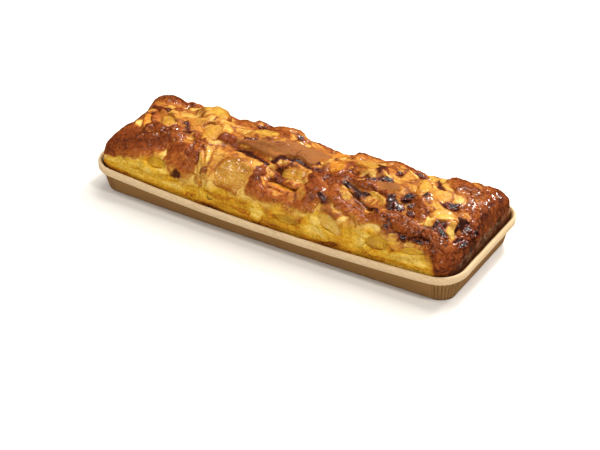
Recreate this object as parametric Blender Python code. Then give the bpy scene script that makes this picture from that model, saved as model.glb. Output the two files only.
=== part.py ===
"""Loaf-shaped apple cake baked in a shallow paper tray.

The tray is a flared paper shell with a rolled rim, pleated corners and long sides that sag a little.
The cake fills it and rises over the rim as an uneven crust. Slices of fruit are baked into the crust,
each in its own pocket, and small scraps of dark caramel are fused to it.

Units are metres, +Z is up and +X runs along the loaf. The origin is under the centre of the tray's base.
A place on the crust is given by x along the loaf and s across it, which is measured over the curve of
the crust from the crown line (s = 0), with the front negative.
"""

import math
from typing import NamedTuple

import bmesh
import bpy
import numpy as np
from mathutils import Matrix, Vector, noise

OBJECT_NAME = "apple_cake"
CUTTER_COLLECTION = "slice_pockets"
SCRAP_COLLECTION = "caramel_scraps"

# Paper tray
TRAY_LENGTH = 0.261
TRAY_WIDTH = 0.095
TRAY_HEIGHT = 0.021
TRAY_CORNER = 0.0168
SIDE_BOW = 0.0018
RIM_SAG = 0.0042
WALL_FLARE = 0.0050
PAPER = 0.0008
ROLL_HEIGHT = 0.0054
ROLL_THICKNESS = 0.0022
PLEAT_DEPTH = 0.0005
SIDE_STEPS = 14
END_STEPS = 6
CORNER_STEPS = 8

# Cake body
FIT_GAP = 0.0004
CONTACT_DEPTH = 0.0012
CROWN_HEIGHT = 0.0450
FRONT_POWER = 3.4
FRONT_ROUND = 0.5
BACK_POWER = 2.0
BACK_ROUND = 0.8
LEFT_POWER = 6.0
RIGHT_POWER = 9.0
END_ROUND = 0.5
COLUMNS = 62
ROWS = 24
EDGE_FADE = 0.006
NOISE_SIZE = 0.013
NOISE_HEIGHT = 0.0014
SHOULDER_PLACE = 0.024
SHOULDER_WIDTH = 0.017
LIP_HEIGHT = 0.0011
LIP_PLACE = 1.25
LIP_WIDTH = 0.3
BED_DEPTH = 0.0009

# Slices of fruit
POCKET_GAP = 0.0003
SUNK_SHARE = 0.22
SLICE_SIDES = 12
SLICE_RINGS = 6
SLICE_WOBBLE = 0.07
SLICE_BLUNTNESS = 0.7
SLICE_BEND = 0.22

# Scraps of caramel
SCRAP_SIDES = 6
SCRAP_RINGS = 4
SCRAP_KNOBS = 0.28
SCRAP_RISE = 0.0016
SCRAP_LIFT = 0.0004

SHARP_ANGLE = 40

HALF_LENGTH = TRAY_LENGTH / 2
HALF_WIDTH = TRAY_WIDTH / 2
CAKE_INSET = ROLL_THICKNESS + PAPER + FIT_GAP


class Spot(NamedTuple):
    """A soft-edged swelling (or, below zero, a hollow) of the crust, with its radii and its turn in degrees."""

    x: float
    s: float
    length: float
    width: float
    turn: float
    height: float


class Slice(NamedTuple):
    """A baked-in slice of fruit: its place, full sizes, turn in the crust, lean and lift, in metres and degrees."""

    x: float
    s: float
    length: float
    width: float
    thickness: float
    turn: float
    lean: float
    lift: float


class Scrap(NamedTuple):
    """A scrap of dark caramel lying on the crust: its place, full sizes and turn in degrees."""

    x: float
    s: float
    length: float
    width: float
    turn: float


# Height of the crown line above its mean, along the loaf
CROWN_LINE = (
    (-0.130, 0.0030),
    (-0.105, 0.0000),
    (-0.085, -0.0010),
    (-0.060, -0.0015),
    (-0.020, 0.0000),
    (0.000, -0.0035),
    (0.018, -0.0035),
    (0.045, 0.0002),
    (0.070, -0.0008),
    (0.090, 0.0002),
    (0.130, 0.0040),
)

# Height of the back shoulder of the crust over the plain form, along the loaf
SHOULDER_LINE = (
    (-0.118, 0.0020),
    (-0.100, -0.0045),
    (-0.083, -0.0006),
    (-0.070, -0.0046),
    (-0.055, -0.0020),
    (-0.040, -0.0052),
    (-0.025, -0.0027),
    (-0.010, -0.0014),
    (0.005, -0.0062),
    (0.018, -0.0042),
    (0.032, -0.0012),
    (0.047, -0.0022),
    (0.062, -0.0010),
    (0.075, -0.0046),
    (0.088, -0.0014),
    (0.102, -0.0008),
    (0.116, 0.0028),
)

SWELLINGS = (
    Spot(-0.108, -0.028, 0.016, 0.015, 0, 0.0022),
    Spot(-0.089, -0.022, 0.013, 0.008, 10, 0.0026),
    Spot(-0.112, 0.022, 0.014, 0.014, 0, 0.0028),
    Spot(-0.062, -0.035, 0.010, 0.011, 0, 0.0030),
    Spot(-0.046, -0.010, 0.007, 0.006, 0, 0.0024),
    Spot(-0.052, 0.022, 0.011, 0.012, 0, 0.0020),
    Spot(-0.012, -0.002, 0.019, 0.010, -10, 0.0034),
    Spot(-0.024, 0.024, 0.016, 0.011, 0, 0.0040),
    Spot(0.009, -0.043, 0.020, 0.006, 0, 0.0030),
    Spot(0.026, -0.029, 0.007, 0.012, 0, 0.0024),
    Spot(0.032, 0.022, 0.010, 0.011, 0, 0.0026),
    Spot(0.054, 0.024, 0.011, 0.010, 0, 0.0028),
    Spot(0.073, -0.008, 0.008, 0.010, 0, 0.0030),
    Spot(0.048, -0.037, 0.020, 0.005, -15, 0.0022),
    Spot(0.086, -0.034, 0.022, 0.006, 0, 0.0026),
    Spot(0.095, -0.014, 0.006, 0.013, 10, 0.0030),
    Spot(0.113, -0.037, 0.013, 0.011, 0, 0.0018),
    Spot(0.101, 0.018, 0.013, 0.014, 0, 0.0042),
    Spot(-0.034, -0.052, 0.020, 0.004, 0, -0.0008),
    Spot(-0.028, -0.017, 0.015, 0.004, -10, -0.0026),
    Spot(0.005, -0.026, 0.016, 0.011, 0, -0.0038),
    Spot(0.058, -0.025, 0.016, 0.008, -12, -0.0040),
    Spot(-0.066, -0.049, 0.005, 0.004, 0, -0.0022),
    Spot(-0.101, -0.010, 0.004, 0.013, -15, -0.0026),
    Spot(-0.083, 0.015, 0.006, 0.010, 0, -0.0026),
    Spot(0.108, -0.010, 0.006, 0.008, 0, -0.0028),
    Spot(0.119, -0.020, 0.004, 0.010, 0, -0.0018),
    Spot(0.084, -0.020, 0.008, 0.007, 0, -0.0018),
    Spot(0.018, 0.008, 0.007, 0.012, 0, -0.0030),
    Spot(0.086, 0.014, 0.005, 0.009, 0, -0.0036),
    Spot(0.114, 0.037, 0.012, 0.012, 0, 0.0030),
)

SLICES = (
    Slice(-0.0277, -0.0383, 0.0325, 0.0225, 0.0080, -4, 0, 0.0010),
    Slice(-0.0492, -0.0385, 0.0220, 0.0045, 0.0070, -71, 0, 0.0014),
    Slice(0.0065, -0.0190, 0.0260, 0.0110, 0.0080, -3, 12, 0.0012),
    Slice(0.0050, -0.0328, 0.0290, 0.0120, 0.0075, -4, -14, 0.0010),
    Slice(-0.0800, -0.0440, 0.0200, 0.0095, 0.0065, 4, 0, 0.0006),
    Slice(-0.0920, -0.0105, 0.0260, 0.0125, 0.0080, -52, 0, 0.0012),
    Slice(-0.1055, -0.0165, 0.0270, 0.0095, 0.0080, -64, 0, 0.0012),
    Slice(-0.0610, -0.0085, 0.0250, 0.0155, 0.0080, -62, 0, 0.0012),
    Slice(-0.0730, 0.0150, 0.0300, 0.0130, 0.0120, -30, 30, 0.0042),
    Slice(-0.0275, 0.0020, 0.0250, 0.0140, 0.0080, -18, 0, 0.0010),
    Slice(0.0280, -0.0052, 0.0240, 0.0128, 0.0085, -56, 8, 0.0014),
    Slice(0.0438, 0.0060, 0.0245, 0.0145, 0.0080, -25, 0, 0.0012),
    Slice(0.0650, -0.0205, 0.0200, 0.0075, 0.0075, -24, 6, 0.0010),
    Slice(0.0565, -0.0275, 0.0310, 0.0075, 0.0070, -20, -6, 0.0008),
    Slice(0.0460, -0.0460, 0.0230, 0.0105, 0.0065, -18, 0, 0.0008),
    Slice(0.0780, -0.0482, 0.0190, 0.0105, 0.0065, 0, 0, 0.0006),
    Slice(0.1082, -0.0215, 0.0175, 0.0130, 0.0085, 40, 0, 0.0014),
    Slice(0.0165, -0.0500, 0.0220, 0.0085, 0.0060, -4, 0, 0.0003),
    Slice(0.1010, -0.0474, 0.0200, 0.0060, 0.0060, 8, 0, 0.0008),
    Slice(0.0850, -0.0010, 0.0210, 0.0100, 0.0080, -66, 0, 0.0010),
    Slice(-0.0980, 0.0340, 0.0280, 0.0145, 0.0080, 14, 0, 0.0010),
    Slice(-0.0400, 0.0370, 0.0290, 0.0150, 0.0080, -12, 0, 0.0010),
    Slice(0.0120, 0.0330, 0.0270, 0.0145, 0.0080, 20, 0, 0.0010),
    Slice(0.0760, 0.0360, 0.0290, 0.0150, 0.0080, -10, 0, 0.0010),
)

SCRAPS = (
    Scrap(-0.0770, -0.0125, 0.0120, 0.0040, -50),
    Scrap(-0.0440, 0.0275, 0.0050, 0.0035, 10),
    Scrap(-0.0320, -0.0085, 0.0076, 0.0044, 4),
    Scrap(-0.0115, -0.0060, 0.0064, 0.0030, 12),
    Scrap(0.0168, 0.0055, 0.0044, 0.0026, -40),
    Scrap(0.0195, -0.0120, 0.0085, 0.0036, -13),
    Scrap(0.1240, -0.0120, 0.0075, 0.0036, 75),
    Scrap(0.0380, -0.0350, 0.0050, 0.0028, -48),
    Scrap(0.0545, -0.0095, 0.0072, 0.0040, 52),
    Scrap(0.0620, -0.0040, 0.0084, 0.0040, -12),
    Scrap(0.0635, 0.0090, 0.0052, 0.0028, -75),
    Scrap(0.0700, 0.0262, 0.0064, 0.0034, 20),
    Scrap(0.0300, 0.0220, 0.0048, 0.0030, 0),
    Scrap(-0.0120, 0.0190, 0.0048, 0.0032, -50),
    Scrap(0.0800, -0.0390, 0.0040, 0.0032, 0),
    Scrap(0.0930, -0.0415, 0.0060, 0.0034, 18),
    Scrap(0.1035, -0.0414, 0.0110, 0.0020, 2),
    Scrap(0.0815, -0.0135, 0.0070, 0.0040, 40),
    Scrap(0.0870, -0.0200, 0.0060, 0.0036, -60),
    Scrap(0.0795, -0.0245, 0.0080, 0.0056, -50),
    Scrap(0.0905, -0.0280, 0.0066, 0.0032, -38),
    Scrap(0.1125, -0.0322, 0.0085, 0.0032, -20),
    Scrap(0.1212, -0.0150, 0.0070, 0.0038, 70),
    Scrap(0.1075, -0.0050, 0.0078, 0.0036, 36),
    Scrap(0.1235, -0.0260, 0.0090, 0.0034, 75),
)


def fraction_to_edge(x):
    """1 at mid-length and 0 at the ends: how far the long sides bow out and their rim sags."""
    return np.clip(1 - (x / HALF_LENGTH) ** 2, 0, 1)


def half_width(x, inset):
    """Half the plan width of the outline that lies the inset inside the rim."""
    return HALF_WIDTH - inset + SIDE_BOW * fraction_to_edge(x)


def rim_height(x):
    """Height of the rim's top, which sags between the ends."""
    return TRAY_HEIGHT - RIM_SAG * fraction_to_edge(x)


def outline_stations():
    """Steps round the tray: a core point, the outward direction there and whether a pleat lies on it."""
    core_x = HALF_LENGTH - TRAY_CORNER
    core_y = HALF_WIDTH - TRAY_CORNER
    stations = []

    def straight(start, end, steps, angle):
        for step in range(1, steps):
            share = step / steps
            point = [a + (b - a) * share for a, b in zip(start, end)]
            stations.append((point, math.radians(angle), False))

    def corner(centre, first_angle):
        for step in range(CORNER_STEPS + 1):
            angle = math.radians(first_angle + 90 * step / CORNER_STEPS)
            stations.append((centre, angle, step % 2 == 1))

    straight((-core_x, -core_y), (core_x, -core_y), SIDE_STEPS, -90)
    corner((core_x, -core_y), -90)
    straight((core_x, -core_y), (core_x, core_y), END_STEPS, 0)
    corner((core_x, core_y), 0)
    straight((core_x, core_y), (-core_x, core_y), SIDE_STEPS, 90)
    corner((-core_x, core_y), 90)
    straight((-core_x, core_y), (-core_x, -core_y), END_STEPS, 180)
    corner((-core_x, -core_y), 180)
    return stations


def plan_offset(core, angle, inset):
    """Plan position a given inset inside the rim, with the long side's bow added."""
    reach = TRAY_CORNER - inset
    x = core[0] + math.cos(angle) * reach
    y = core[1] + math.sin(angle) * reach
    return x, y + math.copysign(SIDE_BOW * float(fraction_to_edge(x)), core[1])


def tray_profile():
    """Rings of the tray from its inner floor over the rolled rim to its base.

    Each ring has its inset, its height under a rim that doesn't sag, how much of the sag it takes and how
    much of a pleat's depth.
    """
    foot = WALL_FLARE + ROLL_THICKNESS
    top = TRAY_HEIGHT
    roll_foot = top - ROLL_HEIGHT
    half_flare = ROLL_THICKNESS + WALL_FLARE / 2
    return (
        (foot + PAPER, PAPER, 0.0, 0.0),
        (half_flare + PAPER, top / 2, 0.5, 1.0),
        (ROLL_THICKNESS + PAPER * 0.6, top - 0.0010, 1.0, 0.6),
        (ROLL_THICKNESS * 0.62, top, 1.0, 0.0),
        (ROLL_THICKNESS * 0.18, top - 0.0005, 1.0, 0.0),
        (0.0, top - 0.0016, 1.0, 0.0),
        (0.0001, roll_foot + 0.0007, 1.0, 0.0),
        (ROLL_THICKNESS * 0.4, roll_foot, 1.0, 0.0),
        (ROLL_THICKNESS * 1.25, roll_foot + 0.0002, 1.0, 0.5),
        (half_flare, top / 2 - 0.0012, 0.5, 1.0),
        (foot - 0.0004, 0.0007, 0.0, 0.6),
        (foot + 0.0004, 0.0, 0.0, 0.0),
    )


def new_collection(name):
    """A new collection in the scene."""
    collection = bpy.data.collections.new(name)
    bpy.context.scene.collection.children.link(collection)
    return collection


def make_material(name, colour, roughness):
    """A Principled material with a plain colour and roughness."""
    material = bpy.data.materials.new(name)
    material.use_nodes = True
    shader = material.node_tree.nodes["Principled BSDF"]
    shader.inputs["Base Color"].default_value = (*colour, 1.0)
    shader.inputs["Roughness"].default_value = roughness
    shader.inputs["Metallic"].default_value = 0.0
    material.diffuse_color = (*colour, 1.0)
    return material


def add_object(name, bm, collection, material=None):
    """Turns a bmesh into a named object with outward faces, and frees the bmesh."""
    bmesh.ops.recalc_face_normals(bm, faces=bm.faces)
    mesh = bpy.data.meshes.new(name)
    bm.to_mesh(mesh)
    bm.free()
    mesh.shade_smooth()
    mesh.set_sharp_from_angle(angle=math.radians(SHARP_ANGLE))
    if material:
        mesh.materials.append(material)
    obj = bpy.data.objects.new(name, mesh)
    collection.objects.link(obj)
    return obj


def make_tray(collection, material):
    """The paper tray, lofted from ring to ring because its pleats, bow and sag change with height."""
    bm = bmesh.new()
    stations = outline_stations()
    rings = []
    for inset, height, sag_share, pleat_share in tray_profile():
        ring = []
        for core, angle, pleated in stations:
            pleat = PLEAT_DEPTH * pleat_share if pleated else 0.0
            x, y = plan_offset(core, angle, inset - pleat)
            z = height - sag_share * RIM_SAG * float(fraction_to_edge(x))
            ring.append(bm.verts.new((x, y, z)))
        rings.append(ring)
    count = len(stations)
    for lower, upper in zip(rings, rings[1:]):
        for step in range(count):
            following = (step + 1) % count
            bm.faces.new((lower[step], lower[following], upper[following], upper[step]))
    bm.faces.new(rings[0])
    bm.faces.new(rings[-1])
    return add_object("paper_tray", bm, collection, material)


def front_back_profile(v):
    """Relative height across the loaf, from -1 at the front rim to 1 at the back rim: steeper in front."""
    reach = np.abs(v)
    front = np.clip(1 - reach**FRONT_POWER, 0, 1) ** FRONT_ROUND
    back = np.clip(1 - reach**BACK_POWER, 0, 1) ** BACK_ROUND
    return np.where(v < 0, front, back)


def end_profile(u):
    """Relative height along the loaf, from -1 at the left end to 1 at the right end: squarer at the right."""
    reach = np.abs(u)
    left = np.clip(1 - reach**LEFT_POWER, 0, 1) ** END_ROUND
    right = np.clip(1 - reach**RIGHT_POWER, 0, 1) ** END_ROUND
    return np.where(u < 0, left, right)


def arc_table(half, profile):
    """Positions from -1 to 1 and the distance over the curve to each, measured from the middle."""
    position = np.sin(np.linspace(-math.pi / 2, math.pi / 2, 2001))
    rise = (CROWN_HEIGHT - TRAY_HEIGHT) * profile(position)
    steps = np.hypot(np.diff(position * half), np.diff(rise))
    arc = np.concatenate([[0.0], np.cumsum(steps)])
    return position, arc - np.interp(0.0, position, arc)


ACROSS = arc_table(HALF_WIDTH - CAKE_INSET + SIDE_BOW, front_back_profile)
ALONG = arc_table(HALF_LENGTH - CAKE_INSET, end_profile)


def crust_point(x, s):
    """Points of the plain crust, before its relief, for arrays of x and s."""
    v = np.interp(s, ACROSS[1], ACROSS[0])
    u = x / (HALF_LENGTH - CAKE_INSET)
    xs, heights = zip(*CROWN_LINE)
    crown = CROWN_HEIGHT + np.interp(x, xs, heights)
    foot = rim_height(x) - CONTACT_DEPTH
    z = foot + (crown - foot) * front_back_profile(v) * end_profile(u)
    width = half_width(x, CAKE_INSET)
    y = v * width
    radius = TRAY_CORNER - CAKE_INSET
    over_x = np.maximum(np.abs(x) - (HALF_LENGTH - TRAY_CORNER), 0) / radius
    over_y = np.maximum(np.abs(y) - (width - radius), 0) / radius
    plan_x = np.sign(x) * (np.abs(x) - radius * over_x * (1 - np.sqrt(1 - over_y**2 / 2)))
    plan_y = np.sign(y) * (np.abs(y) - radius * over_y * (1 - np.sqrt(1 - over_x**2 / 2)))
    return np.stack([plan_x, plan_y, z], axis=-1)


def turned(x, s, place):
    """Distances along and across a turned feature from its centre."""
    angle = math.radians(place.turn)
    along = (x - place.x) * math.cos(angle) + (s - place.s) * math.sin(angle)
    across = (s - place.s) * math.cos(angle) - (x - place.x) * math.sin(angle)
    return along, across


def shoulder(x, s):
    """Rise or fall of the crust's back shoulder."""
    places, heights = zip(*SHOULDER_LINE)
    distance = np.abs((s - SHOULDER_PLACE) / SHOULDER_WIDTH)
    return np.interp(x, places, heights) * np.exp(-(distance**4))


def relief(x, s):
    """Height of the crust's swellings, hollows, slice beds and shoulder over the plain crust."""
    height = np.zeros_like(x)
    for spot in SWELLINGS:
        along, across = turned(x, s, spot)
        distance = np.hypot(along / spot.length, across / spot.width)
        height += spot.height * np.exp(-(distance**3))
    for piece in SLICES:
        along, across = turned(x, s, piece)
        distance = np.hypot(along / (piece.length / 2), across / (piece.width / 2))
        height += LIP_HEIGHT * np.exp(-(((distance - LIP_PLACE) / LIP_WIDTH) ** 2))
        height -= BED_DEPTH * np.exp(-(distance**4))
    return height + shoulder(x, s)


def unevenness(x, s):
    """Small rises and falls of the baked batter."""
    flat = zip(np.ravel(x), np.ravel(s))
    values = [noise.noise(Vector((a / NOISE_SIZE, b / NOISE_SIZE, 3.7))) for a, b in flat]
    return NOISE_HEIGHT * np.reshape(values, np.shape(x))


def edge_fade(x, s):
    """0 where the crust meets the tray, rising to 1 a little way in."""
    from_side = np.minimum(s - ACROSS[1][0], ACROSS[1][-1] - s)
    from_end = HALF_LENGTH - CAKE_INSET - np.abs(x)
    share = np.clip(np.minimum(from_side, from_end) / EDGE_FADE, 0, 1)
    return share * share * (3 - 2 * share)


def crust_normal(x, s):
    """Outward normals of the plain crust."""
    step = 0.0002
    along = crust_point(x + step, s) - crust_point(x - step, s)
    across = crust_point(x, s + step) - crust_point(x, s - step)
    normal = np.cross(along, across)
    return normal / np.linalg.norm(normal, axis=-1, keepdims=True)


def crust_surface(x, s):
    """Points of the finished crust."""
    height = (relief(x, s) + unevenness(x, s)) * edge_fade(x, s)
    limit = HALF_LENGTH - CAKE_INSET - 0.001
    normal = crust_normal(np.clip(x, -limit, limit), s)
    return crust_point(x, s) + normal * height[..., None]


def crust_frame(x, s, turn, lean):
    """Place on the crust as a matrix: X along the feature, Z out of the crust, turned and leant."""
    place_x = np.array([x])
    place_s = np.array([s])
    step = np.array([0.002])
    point = crust_surface(place_x, place_s)[0]
    along = (crust_surface(place_x + step, place_s) - crust_surface(place_x - step, place_s))[0]
    across = (crust_surface(place_x, place_s + step) - crust_surface(place_x, place_s - step))[0]
    z_axis = Vector(np.cross(along, across)).normalized()
    x_axis = Vector(along).normalized()
    y_axis = z_axis.cross(x_axis)
    frame = Matrix((x_axis, y_axis, z_axis)).transposed().to_4x4()
    spin = Matrix.Rotation(math.radians(turn), 4, "Z") @ Matrix.Rotation(math.radians(lean), 4, "X")
    return Matrix.Translation(Vector(point)) @ frame @ spin


def add_cake_walls(bm):
    """Carries the crust's edge down inside the tray to a flat bottom."""
    floor = PAPER + FIT_GAP
    foot_inset = WALL_FLARE + ROLL_THICKNESS + PAPER + FIT_GAP
    edges = [edge for edge in bm.edges if edge.is_boundary]
    made = bmesh.ops.extrude_edge_only(bm, edges=edges)["geom"]
    shift = foot_inset - CAKE_INSET
    for vert in (item for item in made if isinstance(item, bmesh.types.BMVert)):
        over_x = max(abs(vert.co.x) - (HALF_LENGTH - TRAY_CORNER), 0.0)
        core_y = half_width(vert.co.x, 0.0) - TRAY_CORNER
        over_y = max(abs(vert.co.y) - core_y, 0.0)
        outward = Vector((math.copysign(over_x, vert.co.x), math.copysign(over_y, vert.co.y))).normalized()
        vert.co.x -= outward.x * shift
        vert.co.y -= outward.y * shift
        vert.co.z = floor
    bottom = [edge for edge in bm.edges if edge.is_boundary]
    bmesh.ops.holes_fill(bm, edges=bottom, sides=0)


def make_cake(collection, material):
    """The batter and crust: a grid folded over the crown, closed by walls and a floor inside the tray."""
    bm = bmesh.new()
    bmesh.ops.create_grid(bm, x_segments=COLUMNS, y_segments=ROWS, size=1.0)
    column_x = np.interp(np.linspace(ALONG[1][0], ALONG[1][-1], COLUMNS + 1), ALONG[1], ALONG[0])
    column_x = column_x * (HALF_LENGTH - CAKE_INSET)
    row_s = np.linspace(ACROSS[1][0], ACROSS[1][-1], ROWS + 1)
    x, s = np.meshgrid(column_x, row_s, indexing="ij")
    points = crust_surface(x, s)
    for vert in bm.verts:
        column = round((vert.co.x + 1) / 2 * COLUMNS)
        row = round((vert.co.y + 1) / 2 * ROWS)
        vert.co = points[column, row]
    add_cake_walls(bm)
    bmesh.ops.triangulate(bm, faces=bm.faces)
    return add_object("cake_body", bm, collection, material)


def scrap_lump(bm, scrap, seed):
    """One knobbly scrap of caramel, half sunk in the crust."""
    lump = bmesh.ops.create_uvsphere(bm, u_segments=SCRAP_SIDES, v_segments=SCRAP_RINGS, radius=1.0)["verts"]
    bmesh.ops.triangulate(bm, faces=bm.faces)
    frame = crust_frame(scrap.x, scrap.s, scrap.turn, 0)
    for vert in lump:
        knob = 1 + SCRAP_KNOBS * noise.noise(vert.co * 1.7 + Vector((seed * 5.1, 0, 0)))
        vert.co *= knob
        vert.co.x *= scrap.length / 2
        vert.co.y *= scrap.width / 2
        vert.co.z = vert.co.z * SCRAP_RISE + SCRAP_LIFT
        vert.co = frame @ vert.co


def bake_modifiers(obj):
    """Replaces an object's mesh with the one its modifiers make."""
    evaluated = obj.evaluated_get(bpy.context.evaluated_depsgraph_get())
    mesh = bpy.data.meshes.new_from_object(evaluated)
    obj.modifiers.clear()
    obj.data = mesh


def fuse_scraps(cake):
    """Joins the caramel scraps to the crust in one union, then removes their own objects."""
    scraps = new_collection(SCRAP_COLLECTION)
    for number, scrap in enumerate(SCRAPS, start=1):
        bm = bmesh.new()
        scrap_lump(bm, scrap, number)
        add_object(f"scrap_{number:02d}", bm, scraps)
    union = cake.modifiers.new("fuse scraps", "BOOLEAN")
    union.operation = "UNION"
    union.operand_type = "COLLECTION"
    union.collection = scraps
    union.solver = "EXACT"
    bake_modifiers(cake)
    for obj in list(scraps.objects):
        bpy.data.objects.remove(obj)
    bpy.data.collections.remove(scraps)


def slice_blank(piece, seed, gap):
    """A flat, slightly bent wedge of fruit grown by the gap, lying in its own frame."""
    bm = bmesh.new()
    bmesh.ops.create_uvsphere(bm, u_segments=SLICE_SIDES, v_segments=SLICE_RINGS, radius=1.0)
    bmesh.ops.triangulate(bm, faces=bm.faces, quad_method="FIXED")
    half = Vector((piece.length / 2, piece.width / 2, piece.thickness / 2))
    bend = piece.width * SLICE_BEND
    for vert in bm.verts:
        direction = vert.co.normalized()
        wobble = 1 + SLICE_WOBBLE * noise.noise(direction * 1.9 + Vector((seed * 3.3, 0, 0)))
        flatness = math.copysign(abs(direction.z) ** SLICE_BLUNTNESS, direction.z)
        shape = Vector((direction.x * half.x, direction.y * half.y, flatness * half.z)) * wobble
        shape.y -= bend * (shape.x / half.x) ** 2 - bend / 2
        vert.co = shape
    bm.normal_update()
    grown = [vert.co + vert.normal * gap * vert.calc_shell_factor() for vert in bm.verts]
    for vert, place in zip(bm.verts, grown):
        vert.co = place
    bm.transform(crust_frame(piece.x, piece.s, piece.turn, piece.lean))
    rise = piece.lift - piece.thickness * SUNK_SHARE
    lift = crust_frame(piece.x, piece.s, 0, 0).to_3x3() @ Vector((0, 0, rise))
    bmesh.ops.translate(bm, verts=bm.verts, vec=lift)
    return bm


def make_slices(collection, material, cake):
    """The slices of fruit, and the pockets they sit in, cut a little wider than each slice."""
    pockets = new_collection(CUTTER_COLLECTION)
    for number, piece in enumerate(SLICES, start=1):
        add_object(f"apple_slice_{number:02d}", slice_blank(piece, number, 0.0), collection, material)
        cutter = add_object(f"pocket_{number:02d}", slice_blank(piece, number, POCKET_GAP), pockets)
        cutter.hide_render = True
        cutter.display_type = "WIRE"
    cut = cake.modifiers.new("slice pockets", "BOOLEAN")
    cut.operation = "DIFFERENCE"
    cut.operand_type = "COLLECTION"
    cut.collection = pockets
    cut.solver = "EXACT"


def main():
    """Builds the whole cake in an empty scene."""
    for obj in list(bpy.data.objects):
        bpy.data.objects.remove(obj)
    collection = new_collection(OBJECT_NAME)
    make_tray(collection, make_material("kraft_paper", (0.72, 0.56, 0.36), 0.85))
    cake = make_cake(collection, make_material("baked_crust", (0.50, 0.22, 0.06), 0.55))
    fuse_scraps(cake)
    make_slices(collection, make_material("baked_fruit", (0.80, 0.52, 0.16), 0.35), cake)


main()
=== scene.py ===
"""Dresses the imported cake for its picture: the crust, the fruit, the scraps of caramel and the paper tray.

Lengths are in metres, or in millimetres where a name ends in _mm or _MM. A place on the crust is given by x,
along the loaf, and by s, across it, which is measured over the crust from the crown line, negative in front.
"""

import logging  # noqa: E402
import math  # noqa: E402
from collections.abc import Callable  # noqa: E402
from dataclasses import dataclass, field  # noqa: E402
from enum import Enum  # noqa: E402
from typing import ClassVar, NamedTuple  # noqa: E402

import bpy  # noqa: E402
import numpy as np  # noqa: E402
from mathutils import Matrix, Vector, noise  # noqa: E402


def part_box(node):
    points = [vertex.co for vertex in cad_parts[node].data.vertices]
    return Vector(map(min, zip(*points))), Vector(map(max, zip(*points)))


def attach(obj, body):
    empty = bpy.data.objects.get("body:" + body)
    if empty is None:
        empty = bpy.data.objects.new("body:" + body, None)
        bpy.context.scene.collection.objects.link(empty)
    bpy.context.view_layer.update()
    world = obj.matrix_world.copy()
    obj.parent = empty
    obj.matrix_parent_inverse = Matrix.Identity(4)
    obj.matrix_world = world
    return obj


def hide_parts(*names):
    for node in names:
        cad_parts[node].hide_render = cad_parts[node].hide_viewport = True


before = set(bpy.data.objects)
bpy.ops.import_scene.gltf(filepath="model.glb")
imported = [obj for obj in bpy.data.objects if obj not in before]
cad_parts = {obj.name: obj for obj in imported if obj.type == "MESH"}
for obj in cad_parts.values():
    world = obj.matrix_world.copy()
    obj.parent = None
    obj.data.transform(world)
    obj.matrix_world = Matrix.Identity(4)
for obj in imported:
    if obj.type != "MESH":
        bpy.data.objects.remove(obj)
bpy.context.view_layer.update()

LOG = logging.getLogger("cake")
MM = 0.001
FAR = 99.0
TINY = 1e-12
CRUMB_BELOW = -0.0435
STAIN_EDGE = (1.15, 0.6)

Array = np.ndarray
Pair = tuple[float, float]
Triple = tuple[float, float, float]
Colour = Triple
Stops = tuple[tuple[float, Colour], ...]
Line = tuple[tuple[float, ...], ...]
Socket = bpy.types.NodeSocket
Feed = float | tuple | bpy.types.NodeSocket


class Slot(Enum):
    """The material slots of the part."""

    PAPER = "kraft_paper"
    CRUST = "baked_crust"
    FRUIT = "baked_fruit"


class FruitTone(Enum):
    """How a slice of fruit has baked: its flesh, its edge and its most roasted places, as linear colours."""

    PALE = ((0.49, 0.255, 0.026), (0.40, 0.140, 0.009), (0.24, 0.062, 0.007))
    GOLDEN = ((0.58, 0.335, 0.042), (0.44, 0.16, 0.012), (0.24, 0.056, 0.007))
    BUTTER = ((0.58, 0.36, 0.055), (0.50, 0.25, 0.018), (0.34, 0.13, 0.010))
    OLIVE = ((0.54, 0.305, 0.015), (0.31, 0.118, 0.005), (0.22, 0.065, 0.004))
    AMBER = ((0.57, 0.215, 0.012), (0.40, 0.105, 0.007), (0.17, 0.026, 0.004))
    CARAMEL = ((0.24, 0.050, 0.007), (0.08, 0.013, 0.004), (0.022, 0.005, 0.003))


PALE, GOLDEN, BUTTER, OLIVE, AMBER, CARAMEL = FruitTone


class Spot(NamedTuple):
    """A soft-edged swelling of the crust, or a hollow below zero, with its radii and its turn in degrees."""

    x: float
    s: float
    length: float
    width: float
    turn: float
    height: float


class SlicePlace(NamedTuple):
    """A baked-in slice of fruit: place, full sizes, turn in the crust, lean, lift and tone."""

    x: float
    s: float
    length: float
    width: float
    thickness: float
    turn: float
    lean: float
    lift: float
    tone: FruitTone


class ScrapPlace(NamedTuple):
    """A scrap of dark caramel lying on the crust: its place, full sizes and turn in degrees."""

    x: float
    s: float
    length: float
    width: float
    turn: float


class Lobe(NamedTuple):
    """A lobe of browned batter, or a fold below zero, along round places, each (x_mm, s_mm, radius_mm)."""

    line: Line
    rise_mm: float
    tone: float
    gloss: float = 0.2

    def reach(self, x_mm: Array, s_mm: Array) -> Array:
        """How far each place is from the line, in shares of the lobe's radius there.

        Args:
            x_mm: Places along the loaf.
            s_mm: Places across the crust.

        Returns:
            0 on the line, 1 at the lobe's edge.
        """
        nearest = np.full(x_mm.shape, FAR)
        for (x0, s0, r0), (x1, s1, r1) in zip(self.line, self.line[1:]):
            run_x, run_s = x1 - x0, s1 - s0
            share = ((x_mm - x0) * run_x + (s_mm - s0) * run_s) / (run_x**2 + run_s**2)
            share = np.clip(share, 0, 1)
            distance = np.hypot(x_mm - x0 - share * run_x, s_mm - s0 - share * run_s)
            nearest = np.minimum(nearest, distance / (r0 + (r1 - r0) * share))
        return nearest


class Stain(NamedTuple):
    """A soft oval, in millimetres, that pulls the crust's tone towards its own by the given strength."""

    x: float
    s: float
    length: float
    width: float
    turn: float
    tone: float
    strength: float


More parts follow.
